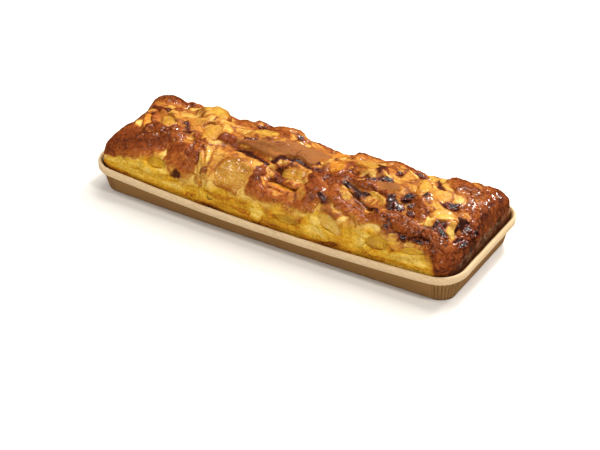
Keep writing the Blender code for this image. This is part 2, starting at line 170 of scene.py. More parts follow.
Oval = Spot | SlicePlace | ScrapPlace | Stain


def in_metres(kind: type, *rows: tuple) -> tuple:
    """Makes places of one kind.

    Args:
        kind: Which kind of place.
        *rows: Their values, with lengths in millimetres and angles in degrees.

    Returns:
        The places, with lengths in metres.
    """
    scales = [1 if name in ("turn", "lean", "tone") else MM for name in kind._fields]
    pairs = [zip(row, scales) for row in rows]
    return tuple(kind(*(value if scale == 1 else value * scale for value, scale in pair)) for pair in pairs)


CROWN_LINE_MM = (
    (-130, 3), (-105, 0), (-85, -1), (-60, -1.5), (-20, 0), (0, -3.5), (18, -3.5), (45, 0.2), (70, -0.8),
    (90, 0.2), (130, 4),
)

SHOULDER_LINE_MM = (
    (-118, 2), (-100, -4.5), (-83, -0.6), (-70, -4.6), (-55, -2), (-40, -5.2), (-25, -2.7), (-10, -1.4),
    (5, -6.2), (18, -4.2), (32, -1.2), (47, -2.2), (62, -1), (75, -4.6), (88, -1.4), (102, -0.8),
    (116, 2.8),
)

SWELLINGS = in_metres(
    Spot,
    (-108, -28, 16, 15, 0, 2.2),
    (-89, -22, 13, 8, 10, 2.6),
    (-112, 22, 14, 14, 0, 2.8),
    (-62, -35, 10, 11, 0, 3),
    (-46, -10, 7, 6, 0, 2.4),
    (-52, 22, 11, 12, 0, 2),
    (-12, -2, 19, 10, -10, 3.4),
    (-24, 24, 16, 11, 0, 4),
    (9, -43, 20, 6, 0, 3),
    (26, -29, 7, 12, 0, 2.4),
    (32, 22, 10, 11, 0, 2.6),
    (54, 24, 11, 10, 0, 2.8),
    (73, -8, 8, 10, 0, 3),
    (48, -37, 20, 5, -15, 2.2),
    (86, -34, 22, 6, 0, 2.6),
    (95, -14, 6, 13, 10, 3),
    (113, -37, 13, 11, 0, 1.8),
    (101, 18, 13, 14, 0, 4.2),
    (-34, -52, 20, 4, 0, -0.8),
    (-28, -17, 15, 4, -10, -2.6),
    (5, -26, 16, 11, 0, -3.8),
    (58, -25, 16, 8, -12, -4),
    (-66, -49, 5, 4, 0, -2.2),
    (-101, -10, 4, 13, -15, -2.6),
    (-83, 15, 6, 10, 0, -2.6),
    (108, -10, 6, 8, 0, -2.8),
    (119, -20, 4, 10, 0, -1.8),
    (84, -20, 8, 7, 0, -1.8),
    (18, 8, 7, 12, 0, -3),
    (86, 14, 5, 9, 0, -3.6),
    (114, 37, 12, 12, 0, 3),
)

SLICES = in_metres(
    SlicePlace,
    (-27.7, -38.3, 32.5, 22.5, 8, -4, 0, 1, PALE),
    (-49.2, -38.5, 22, 4.5, 7, -71, 0, 1.4, GOLDEN),
    (6.5, -19, 26, 11, 8, -3, 12, 1.2, PALE),
    (5, -32.8, 29, 12, 7.5, -4, -14, 1, AMBER),
    (-80, -44, 20, 9.5, 6.5, 4, 0, 0.6, OLIVE),
    (-92, -10.5, 26, 12.5, 8, -52, 0, 1.2, PALE),
    (-105.5, -16.5, 27, 9.5, 8, -64, 0, 1.2, AMBER),
    (-61, -8.5, 25, 15.5, 8, -62, 0, 1.2, PALE),
    (-73, 15, 30, 13, 12, -30, 30, 4.2, GOLDEN),
    (-27.5, 2, 25, 14, 8, -18, 0, 1, GOLDEN),
    (28, -5.2, 24, 12.8, 8.5, -56, 8, 1.4, AMBER),
    (43.8, 6, 24.5, 14.5, 8, -25, 0, 1.2, PALE),
    (65, -20.5, 20, 7.5, 7.5, -24, 6, 1, GOLDEN),
    (56.5, -27.5, 31, 7.5, 7, -20, -6, 0.8, CARAMEL),
    (46, -46, 23, 10.5, 6.5, -18, 0, 0.8, BUTTER),
    (78, -48.2, 19, 10.5, 6.5, 0, 0, 0.6, OLIVE),
    (108.2, -21.5, 17.5, 13, 8.5, 40, 0, 1.4, GOLDEN),
    (16.5, -50, 22, 8.5, 6, -4, 0, 0.3, OLIVE),
    (101, -47.4, 20, 6, 6, 8, 0, 0.8, OLIVE),
    (85, -1, 21, 10, 8, -66, 0, 1, GOLDEN),
    (-98, 34, 28, 14.5, 8, 14, 0, 1, GOLDEN),
    (-40, 37, 29, 15, 8, -12, 0, 1, PALE),
    (12, 33, 27, 14.5, 8, 20, 0, 1, AMBER),
    (76, 36, 29, 15, 8, -10, 0, 1, GOLDEN),
)

SCRAPS = in_metres(
    ScrapPlace,
    (-77, -12.5, 12, 4, -50),
    (-44, 27.5, 5, 3.5, 10),
    (-32, -8.5, 7.6, 4.4, 4),
    (-11.5, -6, 6.4, 3, 12),
    (16.8, 5.5, 4.4, 2.6, -40),
    (19.5, -12, 8.5, 3.6, -13),
    (124, -12, 7.5, 3.6, 75),
    (38, -35, 5, 2.8, -48),
    (54.5, -9.5, 7.2, 4, 52),
    (62, -4, 8.4, 4, -12),
    (63.5, 9, 5.2, 2.8, -75),
    (70, 26.2, 6.4, 3.4, 20),
    (30, 22, 4.8, 3, 0),
    (-12, 19, 4.8, 3.2, -50),
    (80, -39, 4, 3.2, 0),
    (93, -41.5, 6, 3.4, 18),
    (103.5, -41.4, 11, 2, 2),
    (81.5, -13.5, 7, 4, 40),
    (87, -20, 6, 3.6, -60),
    (79.5, -24.5, 8, 5.6, -50),
    (90.5, -28, 6.6, 3.2, -38),
    (112.5, -32.2, 8.5, 3.2, -20),
    (121.2, -15, 7, 3.8, 70),
    (107.5, -5, 7.8, 3.6, 36),
    (123.5, -26, 9, 3.4, 75),
)

LOBES = (
    Lobe(((-128, -34, 14), (-113, -36, 12), (-99, -34, 10.5), (-87, -29, 10), (-78, -25, 6)), 1.8, 0.7, 0.25),
    Lobe(((-100, -25, 3.5), (-90, -23, 4.5), (-80, -21, 4.5)), 2.4, 0.68, 1),
    Lobe(((-128, 30, 9), (-127, 10, 8), (-124, -8, 9), (-120, -22, 9)), 0.8, 0.72, 0.5),
    Lobe(((-118, 26, 12), (-108, 30, 8)), 1.4, 0.71, 0.8),
    Lobe(((-115, 8, 3), (-108, 4, 3), (-101, 2, 2.5)), 1.6, 0.78, 0.6),
    Lobe(((-103, 20, 2.8), (-99, 6, 2.6)), 0.6, 0.6, 0.6),
    Lobe(((-72, -33, 6), (-62, -33, 8), (-55, -33, 5)), 2, 0.66, 0.45),
    Lobe(((-67, -40, 5), (-58, -42, 6)), 1.4, 0.56, 0.3),
    Lobe(((-79, -19, 3.4), (-76, -25, 4)), 1.6, 0.62, 0.9),
    Lobe(((-66, -17, 3), (-60, -22, 4.6), (-56, -27, 4)), 1.6, 0.62, 0.8),
    Lobe(((-52, -13, 3), (-45, -12, 3.6), (-40, -12, 2.4)), 1.8, 0.7, 0.6),
    Lobe(((-39, -11, 1.2), (-26, -9.5, 4), (-18, -11, 5), (-9, -12, 4.6)), 2.3, 0.6, 0),
    Lobe(((-12, -10, 4), (-3, -2, 7), (4, 4, 9), (4, 16, 9)), 2.3, 0.56, 0),
    Lobe(((-4, -6, 3), (5, -4.5, 3.4), (13, -6, 2.6)), 2.6, 0.61, 0.1),
    Lobe(((-35, 25, 7), (-22, 27, 8)), 1.6, 0.58, 0.9),
    Lobe(((-34, 19, 2), (-22, 17, 2.6), (-14, 9, 2.2)), 1.2, 0.62, 0.6),
    Lobe(((-56, 24, 8), (-52, 12, 4)), 1.2, 0.54, 0.7),
    Lobe(((-12, -24, 1.8), (-11.5, -34, 2), (-9, -40, 3)), 1.6, 0.68, 0.5),
    Lobe(((-8, -41.5, 4), (6, -42, 3.6), (18, -42.5, 4), (27, -40, 4.6)), 1.8, 0.66, 0.4),
    Lobe(((19, -16, 2.4), (24, -24, 4), (29, -31, 6), (28, -38, 5)), 1.6, 0.66, 0.5),
    Lobe(((25, -17, 4), (34, -21, 5), (42, -17, 4)), 1.4, 0.66, 0.9),
    Lobe(((34, -11, 3.4), (43, -14, 3.2), (52, -14.5, 3), (58, -13, 2.6)), 1.8, 0.65, 0.8),
    Lobe(((62, -9, 4.4), (70, -11, 5)), 1.4, 0.58, 0.1),
    Lobe(((56, -15.5, 1.3), (65, -14.8, 1.4), (73, -19, 1.6), (75, -25, 1.5)), 2, 0.7, 0.8),
    Lobe(((37, -27, 4), (45, -33, 3.6), (56, -36, 4), (66, -38.5, 3.8), (76, -35, 4)), 1.8, 0.64, 0.8),
    Lobe(((76, -34, 4), (86, -34, 5), (96, -36.5, 5), (107, -37, 6), (115, -39, 7)), 1.8, 0.64, 1),
    Lobe(((88, -14, 3.4), (93, -21, 4.4), (96, -28, 3.6)), 1.8, 0.62, 1),
    Lobe(((112, -45, 5), (118, -48, 6)), 1.2, 0.7, 0.8),
    Lobe(
        ((128, -58, 13), (128, -40, 11), (128, -20, 9), (127, 0, 9), (125, 20, 11), (123, 34, 13)),
        rise_mm=1.4,
        tone=0.7,
        gloss=1,
    ),
    Lobe(((96, 21, 8), (104, 13, 6), (112, 14, 5)), 1.6, 0.64, 0.9),
    Lobe(((113, -6, 3), (118, -3, 4), (114, 5, 4)), 1.6, 0.64, 0.9),
    Lobe(((28, 22, 9), (38, 27, 7)), 1.2, 0.56, 0.7),
    Lobe(((54, 26, 8), (64, 33, 7)), 1.2, 0.6, 0.8),
    Lobe(((-90, 46, 7), (-60, 45, 7), (-30, 47, 6), (0, 46, 7)), 1.4, 0.66, 0.4),
    Lobe(((16, 46, 7), (45, 45, 7), (75, 47, 6), (105, 46, 8)), 1.4, 0.68, 0.5),
)

# Dark folds between the lobes: partly burnt batter, partly painted shade in the creases and under the
# overhanging lobes.
FOLDS = (
    Lobe(((-37, -15.5, 1.2), (-28, -16.5, 1.6), (-19, -18.5, 1.6), (-12, -22, 1.6)), -1.4, 0.88),
    Lobe(((-9, -19, 1.8), (-5, -13, 1.8), (1, -10, 1.6), (8, -9.5, 1.5), (14, -11, 1.4)), -1.4, 0.9),
    Lobe(((-107, -7, 1), (-102, -17, 1.4), (-97, -23, 1.4)), -1.2, 0.82),
    Lobe(((-69, -48.5, 1.4), (-65, -46.5, 2.4), (-61, -47, 1)), -1.8, 0.9),
    Lobe(((-41, -52.5, 0.7), (-38, -52, 1)), -1.2, 0.92),
    Lobe(((-55.5, -27, 0.8), (-54, -36, 1)), -1, 0.78),
    Lobe(((-62, -24, 0.8), (-60, -30, 1)), -1, 0.8),
    Lobe(((-46, -26, 0.7), (-45.5, -34, 0.8), (-46, -42, 0.6)), -0.6, 0.56),
    Lobe(((13.5, 18, 1), (16, 8, 1.4), (16, -2, 1.2), (14, -7, 1)), -1.2, 0.9),
    Lobe(((33, -32, 1.6), (37, -37, 1.6)), -1.2, 0.9),
    Lobe(((40, -37, 1), (50, -41, 1)), -0.8, 0.7),
    Lobe(((41, -19, 2), (50, -20.5, 2.6), (58, -21, 2)), -1.4, 0.94),
    Lobe(((60, -30, 1.6), (68, -30.5, 2), (72, -32, 1.2)), -1.2, 0.92),
    Lobe(((74, -19, 2.4), (78, -26, 3.4), (82, -27, 1.6)), -1.4, 0.96),
    Lobe(((80, -17, 2), (86, -11.5, 2), (92, -9.5, 1.2)), -1, 0.94),
    Lobe(((36, -7, 0.8), (44, -9, 1), (51, -8, 1.2), (55, -10, 1.8)), -0.8, 0.82),
    Lobe(((57, -3.5, 1.6), (66, -5, 1.8)), -0.6, 0.92),
    Lobe(((83, 24, 1), (90, 14, 1.4), (92, 6, 1.4), (96, 3, 1)), -1.2, 0.86),
    Lobe(((62, 28, 1), (64, 16, 1), (63, 8, 1.4)), -0.6, 0.74),
    Lobe(((72, 24, 1.8), (76, 10, 1.8), (79, -2, 1.4)), -0.8, 0.56),
    Lobe(((-75, 25, 1.4), (-70, 14, 1.6), (-66, 4, 1.4)), -0.8, 0.7),
    Lobe(((-13, 19, 1), (-12, 8, 0.8), (-11, 0, 0.8)), -0.6, 0.7),
    Lobe(((103, -9, 1.6), (108, -7, 2), (112, -3, 1.4)), -0.8, 0.92),
    Lobe(((117, -24, 1.4), (117, -16, 1.8), (121, -12, 1.6), (124, -14, 1.4)), -1.4, 0.96),
    Lobe(((120, -31, 1.2), (123, -24, 1.8), (125, -18, 1.2)), -1, 0.96),
    Lobe(((107, -32, 1.4), (110, -27, 1.8), (114, -32, 1.6)), -1, 0.94),
    Lobe(((90, -41.5, 1.2), (96, -41, 0.8), (103, -40, 0.7), (110, -40, 0.6)), -1, 0.94),
)

STAINS = (
    Stain(-92, -8, 22, 16, -50, 0.22, 0.9),
    Stain(-106, -10, 24, 12, -60, 0.5, 0.7),
    Stain(-93, 14, 14, 24, 0, 0.3, 0.8),
    Stain(-78, 14, 12, 22, 0, 0.27, 0.8),
    Stain(-64, 20, 11, 26, 0, 0.3, 0.9),
    Stain(-62, -4, 28, 20, -30, 0.2, 0.9),
    Stain(-68, -22, 6, 12, -60, 0.24, 0.7),
    Stain(-46, 20, 10, 22, 0, 0.42, 0.8),
    Stain(-29, 4, 28, 22, -18, 0.42, 0.8),
    Stain(-29, -36, 50, 30, 0, 0.25, 0.85),
    Stain(-30, -22, 34, 9, -4, 0.36, 0.8),
    Stain(-51, -38, 9, 24, -18, 0.14, 0.9),
    Stain(-14, -33, 8, 20, 10, 0.24, 0.8),
    Stain(-19, -18, 18, 6, -15, 0.64, 0.8),
    Stain(5, -25, 36, 22, 0, 0.46, 0.8),
    Stain(8, -17, 22, 8, 0, 0.2, 0.8),
    Stain(2, -33, 22, 10, 0, 0.42, 0.8),
    Stain(15, -34, 16, 4, -20, 0.3, 0.7),
    Stain(26, 10, 6, 18, -60, 0.5, 0.7),
    Stain(40, 0, 20, 20, 0, 0.5, 0.9),
    Stain(56, 8, 12, 20, 0, 0.6, 0.8),
    Stain(74, 12, 8, 22, 0, 0.62, 0.8),
    Stain(86, 6, 8, 18, 0, 0.6, 0.8),
    Stain(62, -33.5, 12, 3.5, -20, 0.26, 0.8),
    Stain(108, -20, 15, 20, 0, 0.38, 0.9),
    Stain(101, -30, 5, 8, 0, 0.16, 0.8),
    Stain(106, 10, 8, 10, 0, 0.56, 0.7),
)

SOFT_PLACES = (
    Stain(-30, -32, 58, 34, 0, 1, 1),
    Stain(-92, -6, 30, 18, -50, 1, 0.8),
    Stain(-62, -4, 22, 24, 0, 1, 0.8),
)

CRUMB_STAINS = (
    Stain(-95, -52, 50, 9, 0, 0.12, 0.6),
    Stain(-62, -46, 18, 6, 0, 0.62, 0.8),
    Stain(-61, -54, 18, 6, 0, 0.26, 0.8),
    Stain(-30, -50.5, 42, 5, -2, 0.62, 0.8),
    Stain(-28, -55, 36, 4, 0, 0.5, 0.8),
    Stain(-5, -51, 12, 10, 0, 0.12, 0.9),
    Stain(17, -49, 26, 11, 0, 0.56, 0.8),
    Stain(40, -52.5, 26, 8, 0, 0.12, 0.8),
    Stain(78, -47, 18, 12, 0, 0.6, 0.7),
    Stain(94, -53, 28, 8, 0, 0.14, 0.8),
)

FRONT_EDGE_MM = (
    (-131, -58), (-122, -54), (-117, -48.5), (-108, -47.5), (-98, -46), (-90, -43), (-80, -38), (-75, -41),
    (-71, -48), (-60, -49.5), (-50, -48), (-45, -46), (-15, -46), (-10, -46), (4, -46), (12, -45),
    (24, -46), (31, -44), (36, -39), (46, -42.5), (56, -44.5), (66, -43), (74, -42.5), (86, -46), (96, -48),
    (107, -47.5), (113, -51), (118, -59), (131, -60),
)

BACK_EDGE_MM = (
    (-131, 56), (-118, 54), (-104, 47), (-80, 45), (-60, 48), (-40, 45), (-15, 47), (0, 49), (20, 45),
    (45, 48), (70, 45), (95, 48), (112, 53), (131, 56),
)


def ease(low: float, high: float, value: Array) -> Array:
    """Rises smoothly from 0 at low to 1 at high; low may be the larger."""
    share = np.clip((value - low) / (high - low), 0, 1)
    return share * share * (3 - 2 * share)


def line_at(line: Line, x_mm: Array) -> Array:
    """The second values of a line of pairs, in millimetres, at places along the loaf."""
    return np.interp(x_mm, *zip(*line))


def above_edge(x_mm: Array, s_mm: Array) -> Array:
    """How far each place lies above the crust's front edge, in millimetres."""
    return s_mm - line_at(FRONT_EDGE_MM, x_mm)


def turned(x: Array, s: Array, centre_x: float, centre_s: float, turn: float) -> tuple[Array, Array]:
    """Distances from a centre, measured along and across a turned feature.

    Args:
        x: Places along the loaf.
        s: Places across the crust.
        centre_x: The feature's centre along the loaf.
        centre_s: The feature's centre across the crust.
        turn: The feature's turn in degrees.

    Returns:
        The distances along and across the feature.
    """
    angle = math.radians(turn)
    along = (x - centre_x) * math.cos(angle) + (s - centre_s) * math.sin(angle)
    across = (s - centre_s) * math.cos(angle) - (x - centre_x) * math.sin(angle)
    return along, across


def oval_distance(oval: Oval, x: Array, s: Array) -> Array:
    """Distance from the middle of a turned oval on the crust, 1 at its outline."""
    along, across = turned(x, s, oval.x, oval.s, oval.turn)
    return np.hypot(along / (oval.length / 2), across / (oval.width / 2))


def towards(value: Array, target: Array | float, share: Array) -> Array:
    """Moves a value towards a target by a share of the way."""
    return value + (target - value) * share


def stained(tone: Array, stains: tuple[Stain, ...], x_mm: Array, s_mm: Array) -> Array:
    """Pulls the tone towards each stain's own."""
    for stain in stains:
        tone = towards(tone, stain.tone, stain.strength * ease(*STAIN_EDGE, oval_distance(stain, x_mm, s_mm)))
    return tone


def on_level(first: Array, second: Array, level: float) -> Array:
    """Points of a flat pattern on one level, one row each."""
    return np.stack([first, second, 0 * first + level], axis=-1)


def wrapped(number: Array) -> Array:
    """A grid of point numbers with its first column once more at its end."""
    return np.concatenate([number, number[:, :1]], axis=1)


def grid_faces(number: Array) -> list:
    """Four-cornered faces between the neighbours in a grid of point numbers."""
    corners = [number[:-1, :-1], number[1:, :-1], number[1:, 1:], number[:-1, 1:]]
    return np.stack(corners, axis=-1).reshape(-1, 4).tolist()


def unit(vectors: Array) -> Array:
    """Vectors scaled to a length of 1, one row each."""
    return vectors / np.maximum(np.linalg.norm(vectors, axis=-1, keepdims=True), TINY)


def moved(points: Array, matrix: Matrix) -> Array:
    """Points moved by a matrix, one row each."""
    rows = np.array(matrix)
    return points @ rows[:3, :3].T + rows[:3, 3]


def uneven(directions: Array, amount: float, waves: float, seed: float) -> Array:
    """A factor near 1 for each direction, which makes a ball knobbly."""
    start = Vector((seed, 0, 0))
    return np.array([1 + amount * noise.noise(Vector(direction) * waves + start) for direction in directions])


class Grain:
    """Smooth noise and scattered spots on arrays of points, the same on each run."""

    TABLE = 256
    GAIN = 1.7
    LAYER_SHIFT = 0.37

    def __init__(self, seed: int) -> None:
        """Draws the tables of one pattern.

        Args:
            seed: Picks the pattern.
        """
        chance = np.random.default_rng(seed)
        self.order = chance.permutation(self.TABLE)
        self.slopes = unit(chance.normal(size=(self.TABLE, 3)))
        self.spots = chance.random((self.TABLE, 3))

    def pick(self, cell: Array) -> Array:
        """Mixes the numbers of each cell of the lattice.

        Args:
            cell: The cells, as rows of three whole numbers.

        Returns:
            Each cell's index into the tables.
        """
        index = self.order[cell[..., 0] % self.TABLE]
        index = self.order[(index + cell[..., 1]) % self.TABLE]
        return self.order[(index + cell[..., 2]) % self.TABLE]

    def smooth(self, points: Array, size: float) -> Array:
        """Noise of one size.

        Args:
            points: Places, one row each.
            size: The size of the noise's waves.

        Returns:
            Values of about -1 to 1.
        """
        place = points / size
        cell = np.floor(place).astype(int)
        local = place - cell
        fade = local**3 * (local * (local * 6 - 15) + 10)
        total = np.zeros(points.shape[:-1])
        for corner in np.ndindex(2, 2, 2):
            slope = self.slopes[self.pick(cell + corner)]
            weight = np.prod(np.where(np.array(corner) == 1, fade, 1 - fade), axis=-1)
            total += weight * ((local - corner) * slope).sum(axis=-1)
        return total * self.GAIN

    def drift(self, points: Array, mean: float, amount: float, size: float) -> Array:
        """A value that drifts from its mean by an amount, in waves of a size."""
        return mean + amount * self.smooth(points, size)

    def layered(self, points: Array, size: float, layers: int) -> Array:
        """Noise with finer layers, each half the size and height of the one before.

        Args:
            points: Places, one row each.
            size: The size of the coarsest waves.
            layers: How many layers there are.

        Returns:
            Values of about -1 to 1.
        """
        total = np.zeros(points.shape[:-1])
        for layer in range(layers):
            total += self.smooth(points + layer * self.LAYER_SHIFT, size / 2**layer) / 2**layer
        return total

    def spots_near(self, points: Array, size: float) -> tuple[Array, Array, Array, Array]:
        """The scattered spots that lie next to each place.

        Args:
            points: Places, one row each.
            size: The mean distance between spots.

        Returns:
            The distances to the nearest spot and to the second, in shares of the size, the nearest spot's own
            value of 0 to 1, and the height of a plate that is tilted in its own way, of about -0.5 to 0.5.
        """
        place = points / size
        cell = np.floor(place).astype(int)
        nearest = np.full(points.shape[:-1], FAR)
        second = nearest.copy()
        value = np.zeros(points.shape[:-1])
        tilt = value.copy()
        for step in np.ndindex(3, 3, 3):
            neighbour = cell + np.array(step) - 1
            index = self.pick(neighbour)
            offset = place - neighbour - self.spots[index]
            distance = np.linalg.norm(offset, axis=-1)
            closer = distance < nearest
            second = np.where(closer, nearest, np.minimum(second, distance))
            value = np.where(closer, self.spots[index][..., 0], value)
            tilt = np.where(closer, (offset * self.slopes[index]).sum(axis=-1), tilt)
            nearest = np.minimum(nearest, distance)
        return nearest, second, value, tilt


@dataclass(frozen=True)
class TrayShape:
    """The paper tray's sizes and the curves of its rim."""

    length: float
    height: float
    width: float = 0.095
    corner: float = 0.0168
    bow: float = 0.0018
    sag: float = 0.0042
    flare: float = 0.0050
    paper: float = 0.0008
    roll_height: float = 0.0054
    roll_thickness: float = 0.0022

    @property
    def core(self) -> Pair:
        """Where the corners' arcs have their centres."""
        return self.length / 2 - self.corner, self.width / 2 - self.corner

    def to_edge(self, x: Array) -> Array:
        """1 at mid-length and 0 at the ends."""
        return np.clip(1 - (x / (self.length / 2)) ** 2, 0, 1)

    def half_width(self, x: Array, inset: float) -> Array:
        """Half the plan width of the outline that lies the inset inside the rim."""
        return self.width / 2 - inset + self.bow * self.to_edge(x)

    def rim_height(self, x: Array) -> Array:
        """Height of the rim's top, which sags between the ends."""
        return self.height - self.sag * self.to_edge(x)


class Fall(NamedTuple):
    """How a section of the loaf falls to its edge: a power for the reach, and one for what it leaves of 1."""

    inner: float
    outer: float

    def height(self, reach: Array) -> Array:
        """1 in the middle, falling to 0 at a reach of 1."""
        return np.clip(1 - reach**self.inner, 0, 1) ** self.outer


@dataclass
class CrustForm:
    """The form of the crust, which follows the cake's solid."""

    tray: TrayShape
    fit_gap: float = 0.0004
    contact_depth: float = 0.0012
    crown_height: float = 0.0450
    front: Fall = Fall(3.4, 0.5)
    back: Fall = Fall(2.0, 0.8)
    left: Fall = Fall(6.0, 0.5)
    right: Fall = Fall(9.0, 0.5)
    edge_fade: float = 0.006
    noise_size: float = 0.013
    noise_height: float = 0.0014
    noise_seed: float = 3.7
    shoulder_place: float = 0.024
    shoulder_width: float = 0.017
    lip_height: float = 0.0011
    lip_place: float = 1.25
    lip_width: float = 0.3
    bed_depth: float = 0.0009
    table_steps: int = 2001
    normal_step: float = 0.0002
    frame_step: float = 0.002
    across: tuple[Array, Array] = field(init=False)
    along: tuple[Array, Array] = field(init=False)

    def __post_init__(self) -> None:
        """Measures the arcs across and along the loaf."""
        half_width = self.tray.width / 2 - self.inset + self.tray.bow
        self.across = self.arc_table(half_width, self.front, self.back)
        self.along = self.arc_table(self.half_length, self.left, self.right)

    @property
    def inset(self) -> float:
        """How far the cake's edge lies inside the rim's outer face."""
        return self.tray.roll_thickness + self.tray.paper + self.fit_gap

    @property
    def half_length(self) -> float:
        """Half the cake's length."""
        return self.tray.length / 2 - self.inset

    def profile(self, share: Array, before: Fall, after: Fall) -> Array:
        """Relative height over a section, from -1 at its one edge to 1 at its other."""
        return np.where(share < 0, before.height(np.abs(share)), after.height(np.abs(share)))

    def arc_table(self, half: float, before: Fall, after: Fall) -> tuple[Array, Array]:
        """Distances over a curve of the loaf.

        Args:
            half: Half the loaf's size that way.
            before: How the curve falls before the middle.
            after: How it falls after the middle.

        Returns:
            Shares from -1 to 1, and the distance over the curve from the middle to each.
        """
        share = np.sin(np.linspace(-math.pi / 2, math.pi / 2, self.table_steps))
        rise = (self.crown_height - self.tray.height) * self.profile(share, before, after)
        steps = np.hypot(np.diff(share * half), np.diff(rise))
        arc = np.concatenate([[0.0], np.cumsum(steps)])
        return share, arc - np.interp(0.0, share, arc)

    def plain_point(self, x: Array, s: Array) -> Array:
        """Points of the crust without its relief.

        Args:
            x: Places along the loaf.
            s: Places across the crust.

        Returns:
            The points, one row each.
        """
        tray = self.tray
        share = np.interp(s, self.across[1], self.across[0])
        crown = self.crown_height + MM * line_at(CROWN_LINE_MM, x / MM)
        foot = tray.rim_height(x) - self.contact_depth
        over_ends = self.profile(x / self.half_length, self.left, self.right)
        z = foot + (crown - foot) * self.profile(share, self.front, self.back) * over_ends
        width = tray.half_width(x, self.inset)
        y = share * width
        radius = tray.corner - self.inset
        over_x = np.maximum(np.abs(x) - tray.core[0], 0) / radius
        over_y = np.maximum(np.abs(y) - (width - radius), 0) / radius
        plan_x = np.sign(x) * (np.abs(x) - radius * over_x * (1 - np.sqrt(1 - over_y**2 / 2)))
        plan_y = np.sign(y) * (np.abs(y) - radius * over_y * (1 - np.sqrt(1 - over_x**2 / 2)))
        return np.stack([plan_x, plan_y, z], axis=-1)

    def shoulder(self, x: Array, s: Array) -> Array:
        """Rise or fall of the crust's back shoulder."""
        distance = np.abs((s - self.shoulder_place) / self.shoulder_width)
        return MM * line_at(SHOULDER_LINE_MM, x / MM) * np.exp(-(distance**4))

    def relief(self, x: Array, s: Array) -> Array:
        """The swellings, hollows, slice beds and shoulder.

        Args:
            x: Places along the loaf.
            s: Places across the crust.

        Returns:
            Their height over the plain crust.
        """
        height = self.shoulder(x, s)
        for spot in SWELLINGS:
            height += spot.height * np.exp(-((oval_distance(spot, x, s) / 2) ** 3))
        for place in SLICES:
            distance = oval_distance(place, x, s)
            height += self.lip_height * np.exp(-(((distance - self.lip_place) / self.lip_width) ** 2))
            height -= self.bed_depth * np.exp(-(distance**4))
        return height

    def unevenness(self, x: Array, s: Array) -> Array:
        """Small rises and falls of the baked batter.

        Args:
            x: Places along the loaf.
            s: Places across the crust.

        Returns:
            Their height.
        """
        flat = zip(np.ravel(x) / self.noise_size, np.ravel(s) / self.noise_size)
        values = [noise.noise(Vector((a, b, self.noise_seed))) for a, b in flat]
        return self.noise_height * np.reshape(values, np.shape(x))

    def from_edge(self, x: Array, s: Array) -> Array:
        """Distance over the crust from where it meets the tray."""
        arc = self.across[1]
        return np.minimum(np.minimum(s - arc[0], arc[-1] - s), self.half_length - np.abs(x))

    def fade(self, x: Array, s: Array) -> Array:
        """0 where the crust meets the tray, rising to 1 a little way in."""
        return ease(0, self.edge_fade, self.from_edge(x, s))

    def slopes(self, surface: Callable, x: Array, s: Array, step: float) -> tuple[Array, Array]:
        """How a surface runs along and across the loaf, over a step each way."""
        along = surface(x + step, s) - surface(x - step, s)
        return along, surface(x, s + step) - surface(x, s - step)

    def surface(self, x: Array, s: Array) -> Array:
        """Points of the crust as its solid has them.

        Args:
            x: Places along the loaf.
            s: Places across the crust.

        Returns:
            The points, one row each.
        """
        height = (self.relief(x, s) + self.unevenness(x, s)) * self.fade(x, s)
        limit = self.half_length - MM
        inner_x = np.clip(x, -limit, limit)
        normal = unit(np.cross(*self.slopes(self.plain_point, inner_x, s, self.normal_step)))
        return self.plain_point(x, s) + normal * height[..., None]

    def place_frame(self, x: float, s: float, turn: float = 0, lean: float = 0) -> Matrix:
        """The frame of something that lies on the crust.

        Args:
            x: Its place along the loaf.
            s: Its place across the crust.
            turn: Its turn on the crust in degrees.
            lean: Its lean about its own length in degrees.

        Returns:
            A matrix with X along the feature and Z out of the crust.
        """
        place = np.array([x]), np.array([s])
        point = self.surface(*place)[0]
        along, across = (slope[0] for slope in self.slopes(self.surface, *place, self.frame_step))
        z_axis = Vector(np.cross(along, across)).normalized()
        x_axis = Vector(along).normalized()
        base = Matrix((x_axis, z_axis.cross(x_axis), z_axis)).transposed().to_4x4()
        spin = Matrix.Rotation(math.radians(turn), 4, "Z") @ Matrix.Rotation(math.radians(lean), 4, "X")
        return Matrix.Translation(Vector(point)) @ base @ spin


